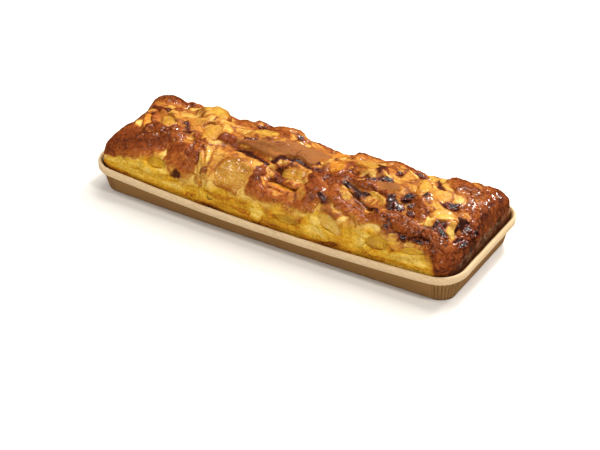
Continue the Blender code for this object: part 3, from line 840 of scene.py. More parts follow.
class Graph:
    """Adds nodes to one node tree and joins them."""

    def __init__(self, tree: bpy.types.NodeTree) -> None:
        """Starts on the node tree of a material or a group."""
        self.tree = tree

    def add(self, kind: str, inputs: dict | None = None, **settings) -> bpy.types.Node:
        """Adds a node.

        Args:
            kind: The node's type name.
            inputs: Values or sockets for its inputs, by name or number.
            **settings: Values for its own properties.

        Returns:
            The node.
        """
        node = self.tree.nodes.new(kind)
        for name, value in settings.items():
            setattr(node, name, value)
        for name, value in (inputs or {}).items():
            self.feed(node.inputs[name], value)
        return node

    def feed(self, socket: Socket, value: Feed) -> None:
        """Sets an input to a value, or joins it to another node's output."""
        if isinstance(value, bpy.types.NodeSocket):
            self.tree.links.new(value, socket)
        elif isinstance(value, tuple) and len(value) == 3 and socket.type == "RGBA":
            socket.default_value = (*value, 1.0)
        else:
            socket.default_value = value

    def math(self, operation: str, first: Feed, second: Feed = 0.0, clamp: bool = False) -> Socket:
        """One step of arithmetic.

        Args:
            operation: The Math node's operation.
            first: A value or socket.
            second: A value or socket.
            clamp: Whether the result is kept between 0 and 1.

        Returns:
            The result's socket.
        """
        node = self.add("ShaderNodeMath", {0: first, 1: second}, operation=operation, use_clamp=clamp)
        return node.outputs[0]

    def times(self, first: Feed, second: Feed, clamp: bool = False) -> Socket:
        """The product of two values or sockets."""
        return self.math("MULTIPLY", first, second, clamp)

    def plus(self, first: Feed, second: Feed, clamp: bool = False) -> Socket:
        """The sum of two values or sockets."""
        return self.math("ADD", first, second, clamp)

    def mix(self, share: Feed, first: Feed, second: Feed) -> Socket:
        """Mixes two colours, with the share of the second."""
        return self.add("ShaderNodeMix", {0: share, 6: first, 7: second}, data_type="RGBA").outputs[2]

    def span(self, value: Feed, low: float, high: float, start: float = 0.0, end: float = 1.0) -> Socket:
        """Maps a value smoothly from one range to another.

        Args:
            value: The value's socket.
            low: The value at the start.
            high: The value at the end.
            start: The result at low.
            end: The result at high.

        Returns:
            The result's socket.
        """
        inputs = {0: value, 1: low, 2: high, 3: start, 4: end}
        return self.add("ShaderNodeMapRange", inputs, interpolation_type="SMOOTHSTEP").outputs[0]

    def ramp(self, value: Feed, stops: Stops) -> Socket:
        """A colour ramp.

        Args:
            value: The socket that picks the colour.
            stops: Positions with their colours.

        Returns:
            The colour's socket.
        """
        node = self.add("ShaderNodeValToRGB", {0: value})
        elements = node.color_ramp.elements
        while len(elements) < len(stops):
            elements.new(0.5)
        for element, (position, colour) in zip(elements, stops):
            element.position = position
            element.color = (*colour, 1.0)
        return node.outputs[0]

    def noise(self, place: Socket, scale: Feed, detail: float = 3.0, roughness: float = 0.5) -> Socket:
        """A noise texture's value at a place."""
        inputs = {"Vector": place, "Scale": scale, "Detail": detail, "Roughness": roughness}
        return self.add("ShaderNodeTexNoise", inputs).outputs[0]


class GroupGraph(Graph):
    """The inside of a node group that turns a place and some numbers into one value."""

    FLOAT = "NodeSocketFloat"

    def __init__(self, name: str, output: str, **inputs: float) -> None:
        """Starts a group.

        Args:
            name: The group's name.
            output: The name of its output.
            **inputs: The number inputs, with _ for spaces, and their usual values.
        """
        super().__init__(bpy.data.node_groups.new(name, "ShaderNodeTree"))
        self.tree.interface.new_socket("Place", in_out="INPUT", socket_type="NodeSocketVector")
        for label, value in inputs.items():
            label = label.replace("_", " ")
            socket = self.tree.interface.new_socket(label, in_out="INPUT", socket_type=self.FLOAT)
            socket.default_value = value
        self.tree.interface.new_socket(output, in_out="OUTPUT", socket_type=self.FLOAT)
        self.start = self.add("NodeGroupInput").outputs
        self.end = self.add("NodeGroupOutput").inputs

    def close(self, value: Socket) -> bpy.types.NodeTree:
        """Joins the value to the output and returns the group."""
        self.feed(self.end[0], value)
        return self.tree


class Effects:
    """The node groups that more than one finish uses, each built once."""

    def __init__(self) -> None:
        """Builds the groups."""
        self.mottle = self.build_mottle()
        self.blisters = self.build_blisters()
        self.strands = self.build_strands()
        self.creases = self.build_creases()

    def build_mottle(self) -> bpy.types.NodeTree:
        """Uneven patches of two sizes, centred on 0.

        Returns:
            The group, with the output Value.
        """
        graph = GroupGraph("Baked mottle", "Value", Large_Scale=90.0, Small_Scale=500.0, Amount=0.2)
        start = graph.start
        large = graph.noise(start["Place"], start["Large Scale"])
        small = graph.noise(start["Place"], start["Small Scale"], 2.0)
        centred = graph.math("SUBTRACT", graph.plus(large, graph.times(small, 0.7)), 0.85)
        return graph.close(graph.times(centred, start["Amount"]))

    def build_blisters(self) -> bpy.types.NodeTree:
        """Fine bubbles and pits of a baked skin, as a height.

        Returns:
            The group, with the output Height.
        """
        graph = GroupGraph("Skin blisters", "Height", Scale=700.0, Pits=0.5)
        start = graph.start
        inputs = {"Vector": start["Place"], "Scale": start["Scale"]}
        cells = graph.add("ShaderNodeTexVoronoi", inputs, feature="SMOOTH_F1")
        fine = graph.noise(start["Place"], graph.times(start["Scale"], 1.3), 3.0, 0.6)
        pits = graph.times(cells.outputs["Distance"], start["Pits"])
        return graph.close(graph.math("SUBTRACT", fine, pits))

    def build_strands(self) -> bpy.types.NodeTree:
        """Long fine strands along X, as in paper pulp or fruit flesh.

        Returns:
            The group, with the output Value.
        """
        graph = GroupGraph("Fine strands", "Value", Scale=300.0, Stretch=8.0)
        start = graph.start
        parts = graph.add("ShaderNodeSeparateXYZ", {0: start["Place"]}).outputs
        along = graph.math("DIVIDE", parts[0], start["Stretch"])
        squeezed = graph.add("ShaderNodeCombineXYZ", {0: along, 1: parts[1], 2: parts[2]}).outputs[0]
        return graph.close(graph.noise(squeezed, start["Scale"], 4.0, 0.65))

    def build_creases(self) -> bpy.types.NodeTree:
        """Fine winding creases that come and go.

        Returns:
            The group, with the output Line, which is 1 in the middle of a crease.
        """
        graph = GroupGraph("Fine creases", "Line", Scale=420.0, Patch_Scale=120.0)
        start = graph.start
        waves = graph.noise(start["Place"], start["Scale"], 2.0)
        waves.node.inputs["Distortion"].default_value = 1.2
        patches = graph.noise(start["Place"], start["Patch Scale"], 2.0)
        off_middle = graph.math("ABSOLUTE", graph.math("SUBTRACT", waves, 0.5))
        line = graph.span(off_middle, 0.0, 0.045, 1.0, 0.0)
        return graph.close(graph.times(line, graph.span(patches, 0.42, 0.58)))


class MaterialGraph(Graph):
    """A material with a Principled shader, and the nodes that feed it."""

    def __init__(self, name: str, effects: Effects) -> None:
        """Starts a material.

        Args:
            name: The material's name.
            effects: The shared node groups.
        """
        self.effects = effects
        self.material = bpy.data.materials.new(name)
        self.material.use_nodes = True
        super().__init__(self.material.node_tree)
        self.shader = self.tree.nodes["Principled BSDF"]
        self.place = self.add("ShaderNodeTexCoord").outputs["Object"]

    def group(self, tree: bpy.types.NodeTree, **inputs: float) -> Socket:
        """Places a shared group.

        Args:
            tree: The group.
            **inputs: Its values, whose names have _ for spaces.

        Returns:
            The group's output.
        """
        node = self.add("ShaderNodeGroup", node_tree=tree)
        self.feed(node.inputs["Place"], self.place)
        for name, value in inputs.items():
            node.inputs[name.replace("_", " ")].default_value = value
        return node.outputs[0]

    def attribute(self, name: str) -> Socket:
        """A value that the mesh holds at each of its points."""
        return self.add("ShaderNodeAttribute", attribute_name=name, attribute_type="GEOMETRY").outputs["Fac"]

    def bump(self, height: Socket, strength: Feed, distance: float) -> Socket:
        """A bump normal from a height."""
        inputs = {"Height": height, "Strength": strength, "Distance": distance}
        return self.add("ShaderNodeBump", inputs).outputs[0]

    def finish(self, **values) -> None:
        """Sets or joins the shader's inputs, whose names have _ for spaces."""
        for name, value in values.items():
            self.feed(self.shader.inputs[name.replace("_", " ")], value)


@dataclass(frozen=True)
class Finish:
    """What all finishes share."""

    title: ClassVar[str] = "plain"

    def make(self, effects: Effects) -> bpy.types.Material:
        """Builds the finish's material.

        Args:
            effects: The shared node groups.

        Returns:
            The material.
        """
        graph = MaterialGraph(self.title, effects)
        self.paint(graph)
        return graph.material


@dataclass(frozen=True)
class CrustFinish(Finish):
    """Baked batter: pale crumb, golden and brown crust, folds that are burnt and painted with shade, and a
    glossy glaze.

    It reads from the mesh its browning, crumb, moisture with painted shade, gloss, calm, and char with
    painted shade.
    """

    title: ClassVar[str] = "baked crust"
    # Near-black for burnt batter; also laid as painted shade in the dark folds and along the tray's edge.
    burnt: Colour = (0.030, 0.006, 0.004)
    # A dull pinkish tan for the smooth lobes: partly their own colour, partly a painted sheen.
    dusty: Colour = (0.244, 0.098, 0.027)
    crumb_stops: Stops = (
        (0.0, (0.80, 0.56, 0.13)),
        (0.25, (0.68, 0.40, 0.034)),
        (0.50, (0.56, 0.265, 0.011)),
        (0.75, (0.42, 0.135, 0.007)),
        (1.0, (0.14, 0.040, 0.004)),
    )
    stops: Stops = (
        (0.0, (0.80, 0.57, 0.19)),
        (0.18, (0.64, 0.39, 0.082)),
        (0.36, (0.49, 0.213, 0.031)),
        (0.52, (0.39, 0.112, 0.015)),
        (0.68, (0.26, 0.055, 0.008)),
        (0.84, (0.115, 0.021, 0.004)),
        (1.0, (0.034, 0.007, 0.003)),
    )

    def paint(self, graph: MaterialGraph) -> None:
        """Adds the finish's nodes.

        Args:
            graph: The material's graph.
        """
        effects = graph.effects
        gloss, calm = graph.attribute("gloss"), graph.attribute("calm")
        mottle = graph.group(effects.mottle, Large_Scale=480.0, Small_Scale=1400.0, Amount=0.30)
        blisters = graph.group(effects.blisters, Scale=620.0, Pits=0.7)
        creases = graph.group(effects.creases, Scale=330.0, Patch_Scale=110.0)
        # Painted shade and highlight: the blisters' pits are made darker and their tops paler.
        painted_blister_shading = graph.span(blisters, -0.15, 0.45, 0.08, -0.08)
        rough = graph.math("SUBTRACT", 1.0, graph.times(calm, 0.45))
        rough = graph.times(rough, graph.span(gloss, 0.45, 0.95, 0.70, 1.00))
        uneven = graph.plus(graph.plus(mottle, painted_blister_shading), graph.times(creases, 0.24))
        tone = graph.plus(graph.attribute("browning"), graph.times(uneven, rough), clamp=True)
        # The smooth lobes' dull pinkish tan is partly their own colour and partly a painted sheen.
        dull_and_sheen_share = graph.times(calm, graph.span(tone, 0.45, 0.60, 0.0, 0.8))
        dull_and_sheen_share = graph.times(dull_and_sheen_share, graph.span(tone, 0.66, 0.80, 1.0, 0.0))
        crust = graph.mix(dull_and_sheen_share, graph.ramp(tone, self.stops), self.dusty)
        grainy = graph.span(graph.noise(graph.place, 700.0, 3.0, 0.65), 0.3, 0.7, -0.13, 0.13)
        # The crumb's darkness holds painted shade in its pores and tears and by the tray.
        crumb = graph.ramp(graph.plus(graph.attribute("moist"), grainy, clamp=True), self.crumb_stops)
        colour = graph.mix(graph.attribute("crumb"), crust, crumb)
        height = graph.math("SUBTRACT", blisters, graph.times(creases, 0.5))
        patches = graph.span(graph.noise(graph.place, 400.0), 0.40, 0.58)
        graph.finish(
            Base_Color=graph.mix(graph.attribute("char"), colour, self.burnt),
            Roughness=graph.span(gloss, 0.0, 1.0, 0.65, 0.34),
            Specular_IOR_Level=0.09,
            Coat_Weight=graph.times(gloss, patches, clamp=True),
            Coat_Roughness=0.10,
            Coat_IOR=1.45,
            Subsurface_Weight=0.06,
            Subsurface_Radius=(1.0, 0.45, 0.15),
            Subsurface_Scale=0.0016,
            Normal=graph.bump(height, graph.span(rough, 0.2, 1.0, 0.35, 1.0), 0.0012),
        )


@dataclass(frozen=True)
class FruitFinish(Finish):
    """Baked fruit: moist flesh with strands, roasted edges and a little light in it.

    It reads rim and roast from the mesh. Pale specks mixed into its colour are painted highlights that stand
    in for glints on the wet flesh.
    """

    tone: FruitTone
    # Pale colour of the painted highlights: specks that stand in for glints on the wet flesh.
    wet: Colour = (0.76, 0.57, 0.25)
    wet_share: float = 0.42
    olive_wet_share: float = 0.12

    @property
    def title(self) -> str:
        """The material's name."""
        return f"baked fruit {self.tone.name.lower()}"

    def paint(self, graph: MaterialGraph) -> None:
        """Adds the finish's nodes.

        Args:
            graph: The material's graph.
        """
        flesh, edge, roasted = self.tone.value
        effects = graph.effects
        strands = graph.group(effects.strands, Scale=420.0, Stretch=3.0)
        mottle = graph.group(effects.mottle, Large_Scale=200.0, Small_Scale=700.0, Amount=0.9)
        creases = graph.group(effects.creases, Scale=260.0, Patch_Scale=120.0)
        colour = graph.mix(graph.plus(graph.attribute("rim"), mottle, clamp=True), flesh, edge)
        roast = graph.plus(graph.attribute("roast"), graph.times(mottle, 0.8), clamp=True)
        colour = graph.mix(roast, colour, roasted)
        colour = graph.mix(graph.span(strands, 0.42, 0.62, 0.0, 0.45), colour, edge)
        colour = graph.mix(graph.times(creases, 0.6), colour, roasted)
        share = self.olive_wet_share if self.tone is OLIVE else self.wet_share
        # Painted highlights: pale specks mixed into the colour as glints, fewer where the fruit is roasted.
        painted_glints = graph.span(graph.noise(graph.place, 1000.0, 2.0, 0.6), 0.54, 0.66, 0.0, share)
        painted_glints = graph.times(painted_glints, graph.span(roast, 0.1, 0.5, 1.0, 0.2))
        graph.finish(
            Base_Color=graph.mix(painted_glints, colour, self.wet),
            Roughness=graph.span(strands, 0.35, 0.65, 0.18, 0.42),
            Specular_IOR_Level=0.16,
            Coat_Weight=graph.span(graph.noise(graph.place, 300.0), 0.45, 0.65, 0.0, 0.8),
            Coat_Roughness=0.10,
            Subsurface_Weight=0.22,
            Subsurface_Radius=(1.0, 0.6, 0.18),
            Subsurface_Scale=0.0035,
            Normal=graph.bump(strands, 0.8, 0.0009),
        )


@dataclass(frozen=True)
class CaramelFinish(Finish):
    """Burnt caramel: nearly black, glassy, and red-brown where the mesh's value thin is high."""

    title: ClassVar[str] = "burnt caramel"
    dark: Colour = (0.014, 0.0030, 0.0030)
    thin: Colour = (0.26, 0.030, 0.006)

    def paint(self, graph: MaterialGraph) -> None:
        """Adds the finish's nodes.

        Args:
            graph: The material's graph.
        """
        mottle = graph.group(graph.effects.mottle, Large_Scale=300.0, Small_Scale=1200.0, Amount=0.7)
        blisters = graph.group(graph.effects.blisters, Scale=900.0, Pits=0.8)
        thin = graph.plus(graph.attribute("thin"), mottle, clamp=True)
        graph.finish(
            Base_Color=graph.mix(thin, self.dark, self.thin),
            Roughness=graph.span(blisters, 0.0, 0.7, 0.14, 0.4),
            Specular_IOR_Level=0.50,
            Coat_Weight=graph.span(graph.noise(graph.place, 420.0), 0.42, 0.56, 0.2, 1.0),
            Coat_Roughness=0.07,
            Normal=graph.bump(blisters, 1.0, 0.0008),
        )


@dataclass(frozen=True)
class PaperFinish(Finish):
    """Kraft paper: pale tan pulp with darker strands, specks and stains of butter by the cake.

    It reads from the mesh where the outer wall is painted darker as shade, how greasy the paper is, and where
    the pleats' creases are painted darker as shade.
    """

    title: ClassVar[str] = "kraft paper"
    light: Colour = (0.66, 0.50, 0.31)
    dark: Colour = (0.56, 0.40, 0.23)
    # The outer wall's colour: the same paper painted as if in shade.
    wall: Colour = (0.245, 0.128, 0.045)
    greasy: Colour = (0.34, 0.18, 0.055)
    # Painted shade in the pleats' inner folds.
    fold: Colour = (0.13, 0.062, 0.020)

    def paint(self, graph: MaterialGraph) -> None:
        """Adds the finish's nodes.

        Args:
            graph: The material's graph.
        """
        strands = graph.group(graph.effects.strands, Scale=1500.0, Stretch=5.0)
        mottle = graph.group(graph.effects.mottle, Large_Scale=60.0, Small_Scale=1500.0, Amount=0.5)
        tone = graph.plus(graph.span(strands, 0.38, 0.66), mottle, clamp=True)
        colour = graph.mix(tone, self.light, self.dark)
        # Painted shade: the outer wall under the rolled rim takes the darker colour.
        colour = graph.mix(graph.attribute("wall"), colour, self.wall)
        specks = graph.span(graph.noise(graph.place, 2400.0, 1.0), 0.70, 0.76, 0.0, 0.6)
        colour = graph.mix(specks, colour, self.greasy)
        grease = graph.plus(graph.attribute("grease"), graph.times(mottle, 0.5), clamp=True)
        colour = graph.mix(grease, colour, self.greasy)
        graph.finish(
            # The pleats' inner folds get painted shade.
            Base_Color=graph.mix(graph.attribute("crease"), colour, self.fold),
            Roughness=graph.span(grease, 0.0, 1.0, 0.78, 0.45),
            Specular_IOR_Level=0.05,
            Normal=graph.bump(strands, 0.25, 0.0004),
        )


@dataclass(frozen=True)
class FloorFinish(Finish):
    """A pale matt studio floor."""

    title: ClassVar[str] = "studio floor"
    pale: Colour = (0.86, 0.85, 0.83)
    shade: Colour = (0.84, 0.83, 0.81)

    def paint(self, graph: MaterialGraph) -> None:
        """Adds the finish's nodes."""
        drift = graph.span(graph.noise(graph.place, 6.0, 2.0), 0.3, 0.7)
        graph.finish(Base_Color=graph.mix(drift, self.pale, self.shade), Roughness=0.9)


def add_mesh(name: str, points: Array, faces: list, values: dict[str, Array]) -> bpy.types.Object:
    """Makes a smooth mesh object that holds some values at its points.

    Args:
        name: The object's name.
        points: The points, one row each.
        faces: The faces, as lists of point numbers.
        values: The values by name, one for each point.

    Returns:
        The object, in the scene.
    """
    mesh = bpy.data.meshes.new(name)
    mesh.from_pydata(points.reshape(-1, 3).tolist(), [], faces)
    for label, numbers in values.items():
        layer = mesh.attributes.new(label, "FLOAT", "POINT")
        layer.data.foreach_set("value", np.ravel(numbers).astype(np.float32))
    mesh.shade_smooth()
    mesh.update()
    obj = bpy.data.objects.new(name, mesh)
    bpy.context.scene.collection.objects.link(obj)
    return obj


def settle(obj: bpy.types.Object, material: bpy.types.Material, slot: Slot, *nodes: str) -> None:
    """Gives a piece its finish, lets it ride on the part and lets it stand for CAD nodes.

    Args:
        obj: The piece.
        material: Its finish.
        slot: The part's material slot that it belongs to; not used.
        *nodes: The CAD nodes that it replaces.
    """
    obj.data.materials.append(material)
    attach(obj, "root")
    if nodes:
        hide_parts(*nodes)
    LOG.info("%s: %d points", obj.name, len(obj.data.vertices))


@dataclass
class Skin:
    """What the crust is at each place of its grid, while it is worked out.

    x_mm and s_mm are the place as lobes and stains see it. They sway, which makes the outlines uneven.
    """

    x: Array
    s: Array
    points: Array
    x_mm: Array
    s_mm: Array
    crumb: Array
    tone: Array
    gloss: Array
    height: Array
    covered: Array
    calm: Array
    # Char with painted shade: burnt batter, and painted shade in the folds, creases and along the tray.
    char: Array


@dataclass
class Crumb:
    """The bare crumb along the tray's long sides, with its layers, patches, pores and tears, the pores and
    tears painted darker as shade.

    A run below 1 draws a pattern out along the loaf. A height or a depth is the pattern's own relief, and a
    tone is how much darker it makes the crumb. A pair whose name ends in _edge or _range is what ease() runs
    between.
    """

    form: CrustForm
    grain: Grain
    sway: float = 0.0016
    sway_size: float = 0.02
    layer_size: float = 0.0026
    layer_run: float = 0.16
    layer_height: float = 0.00025
    layer_tone: float = 0.32
    patch_size: float = 0.012
    patch_run: float = 0.6
    patch_level: float = 0.4
    patch_height: float = 0.0006
    patch_tone: float = 0.34
    patch_sway_mm: float = 1.2
    pore_size: float = 0.0062
    pore_edge: Pair = (0.17, 0.06)
    pore_depth: float = 0.0007
    # The pores' darker tone is painted shade.
    pore_tone: float = 0.16
    ragged_size: float = 0.0035
    ragged_height: float = 0.0003
    tear_size: float = 0.0046
    tear_run: float = 0.4
    tear_level: float = 2.2
    tear_edge: Pair = (0.12, 0.0)
    tear_patch: float = 0.009
    tear_patch_shift: float = 3.9
    tear_patch_range: Pair = (-0.2, 0.3)
    tear_depth: float = 0.0005
    # The tears' darker tone is painted shade.
    tear_tone: float = 0.34
    base_tone: float = 0.23
    tray_edge: Pair = (0.010, 0.001)
    # Darker by the tray: partly moister batter, partly painted shade.
    tray_tone: float = 0.34
    front_range_mm: Pair = (-7, -1)
    back_range_mm: Pair = (48, 57)
    under_crust_tone: float = 0.22

    def relief(self, skin: Skin) -> tuple[Array, Array]:
        """Works out how moist the crumb is and its relief.

        Args:
            skin: The crust's state.

        Returns:
            How moist and dark the crumb is, with painted shade in its pores and tears and by the tray, of
            about 0 to 1, and its relief in metres.
        """
        x, s, grain = skin.x, skin.s, self.grain
        sway = self.sway * grain.smooth(skin.points, self.sway_size)
        layers = grain.layered(on_level(x * self.layer_run, s + sway, 0), self.layer_size, 2)
        patches = grain.smooth(on_level(x * self.patch_run, s, self.patch_level), self.patch_size)
        pores = ease(*self.pore_edge, grain.spots_near(skin.points, self.pore_size)[0])
        tears = self.tears(skin, s + 2 * sway)
        ragged = grain.layered(skin.points, self.ragged_size, 2)
        height = self.layer_height * layers + self.patch_height * patches + self.ragged_height * ragged
        height -= self.pore_depth * pores + self.tear_depth * tears
        moist = stained(
            self.base_tone + self.patch_tone * patches + self.borders(x, s),
            CRUMB_STAINS,
            x / MM + self.patch_sway_mm * patches,
            (s + sway) / MM,
        )
        # Pores and tears are darkened as painted shade.
        return moist + self.layer_tone * layers + self.pore_tone * pores + self.tear_tone * tears, height

    def tears(self, skin: Skin, swayed: Array) -> Array:
        """Short tears along the crumb, which come and go.

        Args:
            skin: The crust's state.
            swayed: Swaying places across the crust.

        Returns:
            1 in the middle of a tear and 0 off it.
        """
        torn = self.grain.smooth(on_level(skin.x * self.tear_run, swayed, self.tear_level), self.tear_size)
        patches = self.grain.smooth(skin.points + self.tear_patch_shift, self.tear_patch)
        return ease(*self.tear_edge, np.abs(torn)) * ease(*self.tear_patch_range, patches)

    def borders(self, x: Array, s: Array) -> Array:
        """How much darker the crumb is by the tray, partly moister and partly painted shade, and how much
        moister it is under the crust.

        Args:
            x: Places along the loaf.
            s: Places across the crust.

        Returns:
            The rise in tone.
        """
        # By the tray the crumb is darker, partly as moister batter and partly as painted shade.
        by_tray = ease(*self.tray_edge, self.form.from_edge(x, s))
        in_front = ease(*self.front_range_mm, above_edge(x / MM, s / MM))
        behind = ease(*self.back_range_mm, s / MM)
        return self.tray_tone * by_tray + self.under_crust_tone * (in_front + behind)


@dataclass
class Crust:
    """The batter and its crust, as one closed and finely modelled piece.

    A drift is a mean, how far a value drifts from it and the size of the waves. Each of the creases is a
    size, a depth and how much darker it is. A pair that ends in _edge or _range is what ease() runs between.
    """

    form: CrustForm
    grain: Grain
    columns: int = 440
    rows: int = 204
    sway_mm: float = 2.2
    sway_sizes: Pair = (0.008, 0.0028)
    fine_sway: float = 0.4
    other_sway: float = 1.7
    tone_drift: Triple = (0.31, 0.10, 0.016)
    gloss_drift: Triple = (0.48, 0.30, 0.010)
    outline_drift: Triple = (1.0, 0.14, 0.006)
    gap_drift: Triple = (1.0, 0.6, 0.005)
    lobe_edge: Pair = (1.14, 0.86)
    lobe_power: float = 2.6
    lobe_lift: float = 0.06
    lobe_shade: float = 0.13
    smooth_gloss: float = 0.15
    smooth_power: float = 6
    edge_soft_mm: float = 2.4
    left_range_mm: Pair = (-60, -76)
    right_range_mm: Pair = (98, 112)
    left_harder_mm: float = 1.3
    right_softer_mm: float = 3.0
    front_end: float = 0.112
    front_paler: float = 0.26
    front_paler_mm: float = 9
    left_share: float = 0.6
    light_range: Pair = (0.44, 0.28)
    light_calm: float = 0.7
    soft_share: float = 0.6
    gloss_range: Pair = (0.8, 1.0)
    gloss_share: float = 0.55
    calm_share: float = 0.8
    dull_share: float = 0.95
    crumb_share: float = 0.7
    chunk_size: float = 0.0098
    chunk_height: float = 0.0010
    chunk_run: float = 0.66
    chunk_slants: Pair = (0.25, 0.2)
    chunk_level: float = 3.3
    chunk_tone: float = 0.34
    least_chunk: float = 0.08
    plate_edge: Pair = (0, 0.14)
    plate_share: float = 2.2
    # Darker low side of each tilted plate: partly juicier fruit, partly painted shade.
    plate_tone: float = 0.24
    dome_edge: Pair = (0, 0.5)
    dome_share: float = 0.4
    # Dark creases between the lumps: partly burnt batter, partly painted shade.
    crease_edge: Pair = (0.15, 0)
    crease_tone: float = 0.30
    crease_char: float = 0.5
    burnt_range: Pair = (0.2, 0.5)
    burnt_size: float = 0.009
    wrinkle_size: float = 0.0034
    wrinkle_height: float = 0.00026
    speckle_size: float = 0.0055
    lobe_speckle: float = 0.03
    loose_speckle: float = 0.05
    blister_size: float = 0.0021
    blister_height: float = 0.00040
    blister_edge: Pair = (0.55, 0.0)
    blister_patch: float = 0.006
    least_blister: float = 0.3
    blister_patch_range: Pair = (-0.3, 0.5)
    blister_gloss_range: Pair = (0.6, 1.0)
    creases: tuple[Triple, ...] = ((0.0090, 0.0008, 0.34), (0.0042, 0.0003, 0.20))
    line_edge: Pair = (0.17, 0.0)
    line_patch_range: Pair = (-0.25, 0.35)
    line_patch_shift: float = 5.1
    line_patch_share: float = 1.6
    fold_edge: Pair = (1.3, 0.5)
    fold_floor_edge: Pair = (1.3, 0.2)
    # The folds' darkest char: partly burnt batter, partly painted shade.
    burnt_edge: Pair = (1.1, 0.2)
    burnt_tone: float = 0.85
    burnt_share: float = 0.8
    scorch_edge: Pair = (2.2, 0.9)
    scorched_tone: float = 0.80
    scorch_share: float = 0.55
    bed_edge: Pair = (1.12, 0.80)
    lap_outer_edge: Pair = (1.42, 1.0)
    lap_inner_edge: Pair = (0.56, 0.84)
    lap_width_range: Pair = (0.0035, 0.0075)
    lap_size: float = 1.6
    crumb_laps: float = 0.9
    crust_laps: float = 0.3
    lap_rise: float = 0.0003
    lap_tone: float = 0.10
    slice_top: float = 0.28
    gap_edge: Pair = (0.0013, 0.0002)
    gap_depth: float = 0.0006
    # Darkening along the tray: partly a burnt edge, partly painted shade in the gap.
    gap_char_range: Pair = (0.4, 1.0)
    gap_char: float = 0.5
    crumb_gap_share: float = 0.85
    crumb_char_share: float = 0.8

    def make(self, material: bpy.types.Material) -> bpy.types.Object:
        """Builds and dresses the piece.

        Args:
            material: The crust's finish.

        Returns:
            The piece, which stands for the cake's body.
        """
        x, s = self.grid()
        points = self.form.surface(x, s)
        fields = self.fields(self.bare_skin(x, s, points))
        normal = unit(np.cross(np.gradient(points, axis=0), np.gradient(points, axis=1)))
        obj = self.close(points + normal * fields.pop("height")[..., None], fields)
        settle(obj, material, Slot.CRUST, "cake_body")
        return obj

    def grid(self) -> tuple[Array, Array]:
        """Places spread evenly over the crust, both ways."""
        share, along = self.form.along
        across = self.form.across[1]
        even = np.linspace(along[0], along[-1], self.columns + 1)
        column_x = np.interp(even, along, share) * self.form.half_length
        return np.meshgrid(column_x, np.linspace(across[0], across[-1], self.rows + 1), indexing="ij")

    def sway(self, points: Array) -> Array:
        """How far outlines sway at each point, in millimetres."""
        coarse, fine = (self.grain.smooth(points, size) for size in self.sway_sizes)
        return self.sway_mm * (coarse + self.fine_sway * fine)

    def bare_skin(self, x: Array, s: Array, points: Array) -> Skin:
        """The crust before anything lies on it.

        Args:
            x: Places along the loaf.
            s: Places across the crust.
            points: The same places in space.

        Returns:
            The crust's state, flat, with stains.
        """
        x_mm = x / MM + self.sway(points)
        s_mm = s / MM + self.sway(points + self.other_sway)
        tone = stained(self.grain.drift(points, *self.tone_drift), STAINS, x_mm, s_mm)
        gloss = self.grain.drift(points, *self.gloss_drift)
        crumb = self.crumb_mask(x_mm, s_mm)
        return Skin(x, s, points, x_mm, s_mm, crumb, tone, gloss, *np.zeros((4, *x.shape)))

    def fields(self, skin: Skin) -> dict[str, Array]:
        """Works out the fine relief and the colours' masks.

        Args:
            skin: The crust's state, which changes.

        Returns:
            The height in metres, and from 0 to 1 the browning, crumb, moisture with painted shade, gloss,
            calm, and char with painted shade.
        """
        grain, points, crumb = self.grain, skin.points, skin.crumb
        self.lay_lobes(skin)
        loose = (1 - skin.covered) * (1 - crumb)
        dull = skin.calm
        skin.calm = np.maximum(dull, self.light_calm * ease(*self.light_range, skin.tone) * loose)
        soft = stained(0 * skin.x, SOFT_PLACES, skin.x_mm, skin.s_mm)
        self.pack_chunks(skin, loose * (1 - self.soft_share * soft))
        even = skin.covered * (1 - self.gloss_share * ease(*self.gloss_range, skin.gloss))
        self.crinkle(skin, np.maximum(even, np.maximum(skin.calm, soft)))
        self.cut_folds(skin)
        self.pale_front(skin)
        skin.height *= 1 - self.crumb_share * crumb
        self.fit_round_slices(skin)
        self.scorch_scraps(skin)
        gloss = skin.gloss * (1 - self.dull_share * dull)
        rough = (1 - crumb) * (1 - self.calm_share * skin.calm)
        speckle = self.lobe_speckle + self.loose_speckle * (1 - skin.covered)
        tone = skin.tone + speckle * grain.layered(points, self.speckle_size, 2) * rough
        wrinkles = self.wrinkle_height * grain.layered(points, self.wrinkle_size, 3) * rough
        moist, crumb_height = Crumb(self.form, grain).relief(skin)
        height = skin.height + wrinkles + self.blisters(points, gloss) * (1 - crumb) + crumb_height * crumb
        from_tray = self.form.from_edge(skin.x, skin.s) * grain.drift(points, *self.gap_drift)
        gap = ease(*self.gap_edge, from_tray)
        # Along the tray the crust is darkened, partly as a burnt edge and partly as painted shade in the gap.
        char = self.gap_char * ease(*self.gap_char_range, gap) * (1 - self.crumb_char_share * crumb)
        masks = {
            "browning": tone,
            "crumb": crumb,
            "moist": moist,
            "gloss": gloss * (1 - crumb),
            "calm": skin.calm,
            "char": skin.char + char,
        }
        depth = self.gap_depth * gap * (1 - self.crumb_gap_share * crumb)
        height = height * self.form.fade(skin.x, skin.s) - depth
        return {"height": height, **{name: np.clip(mask, 0, 1) for name, mask in masks.items()}}

    def pale_front(self, skin: Skin) -> None:
        """Makes the crust paler along its front edge, less so at the left, and not at the ends.

        Args:
            skin: The crust's state, which changes.
        """
        paler = self.front_paler * (1 - self.left_share * ease(*self.left_range_mm, skin.x_mm))
        near = ease(self.front_paler_mm, 0, above_edge(skin.x_mm, skin.s_mm))
        skin.tone -= paler * near * (np.abs(skin.x) < self.front_end)

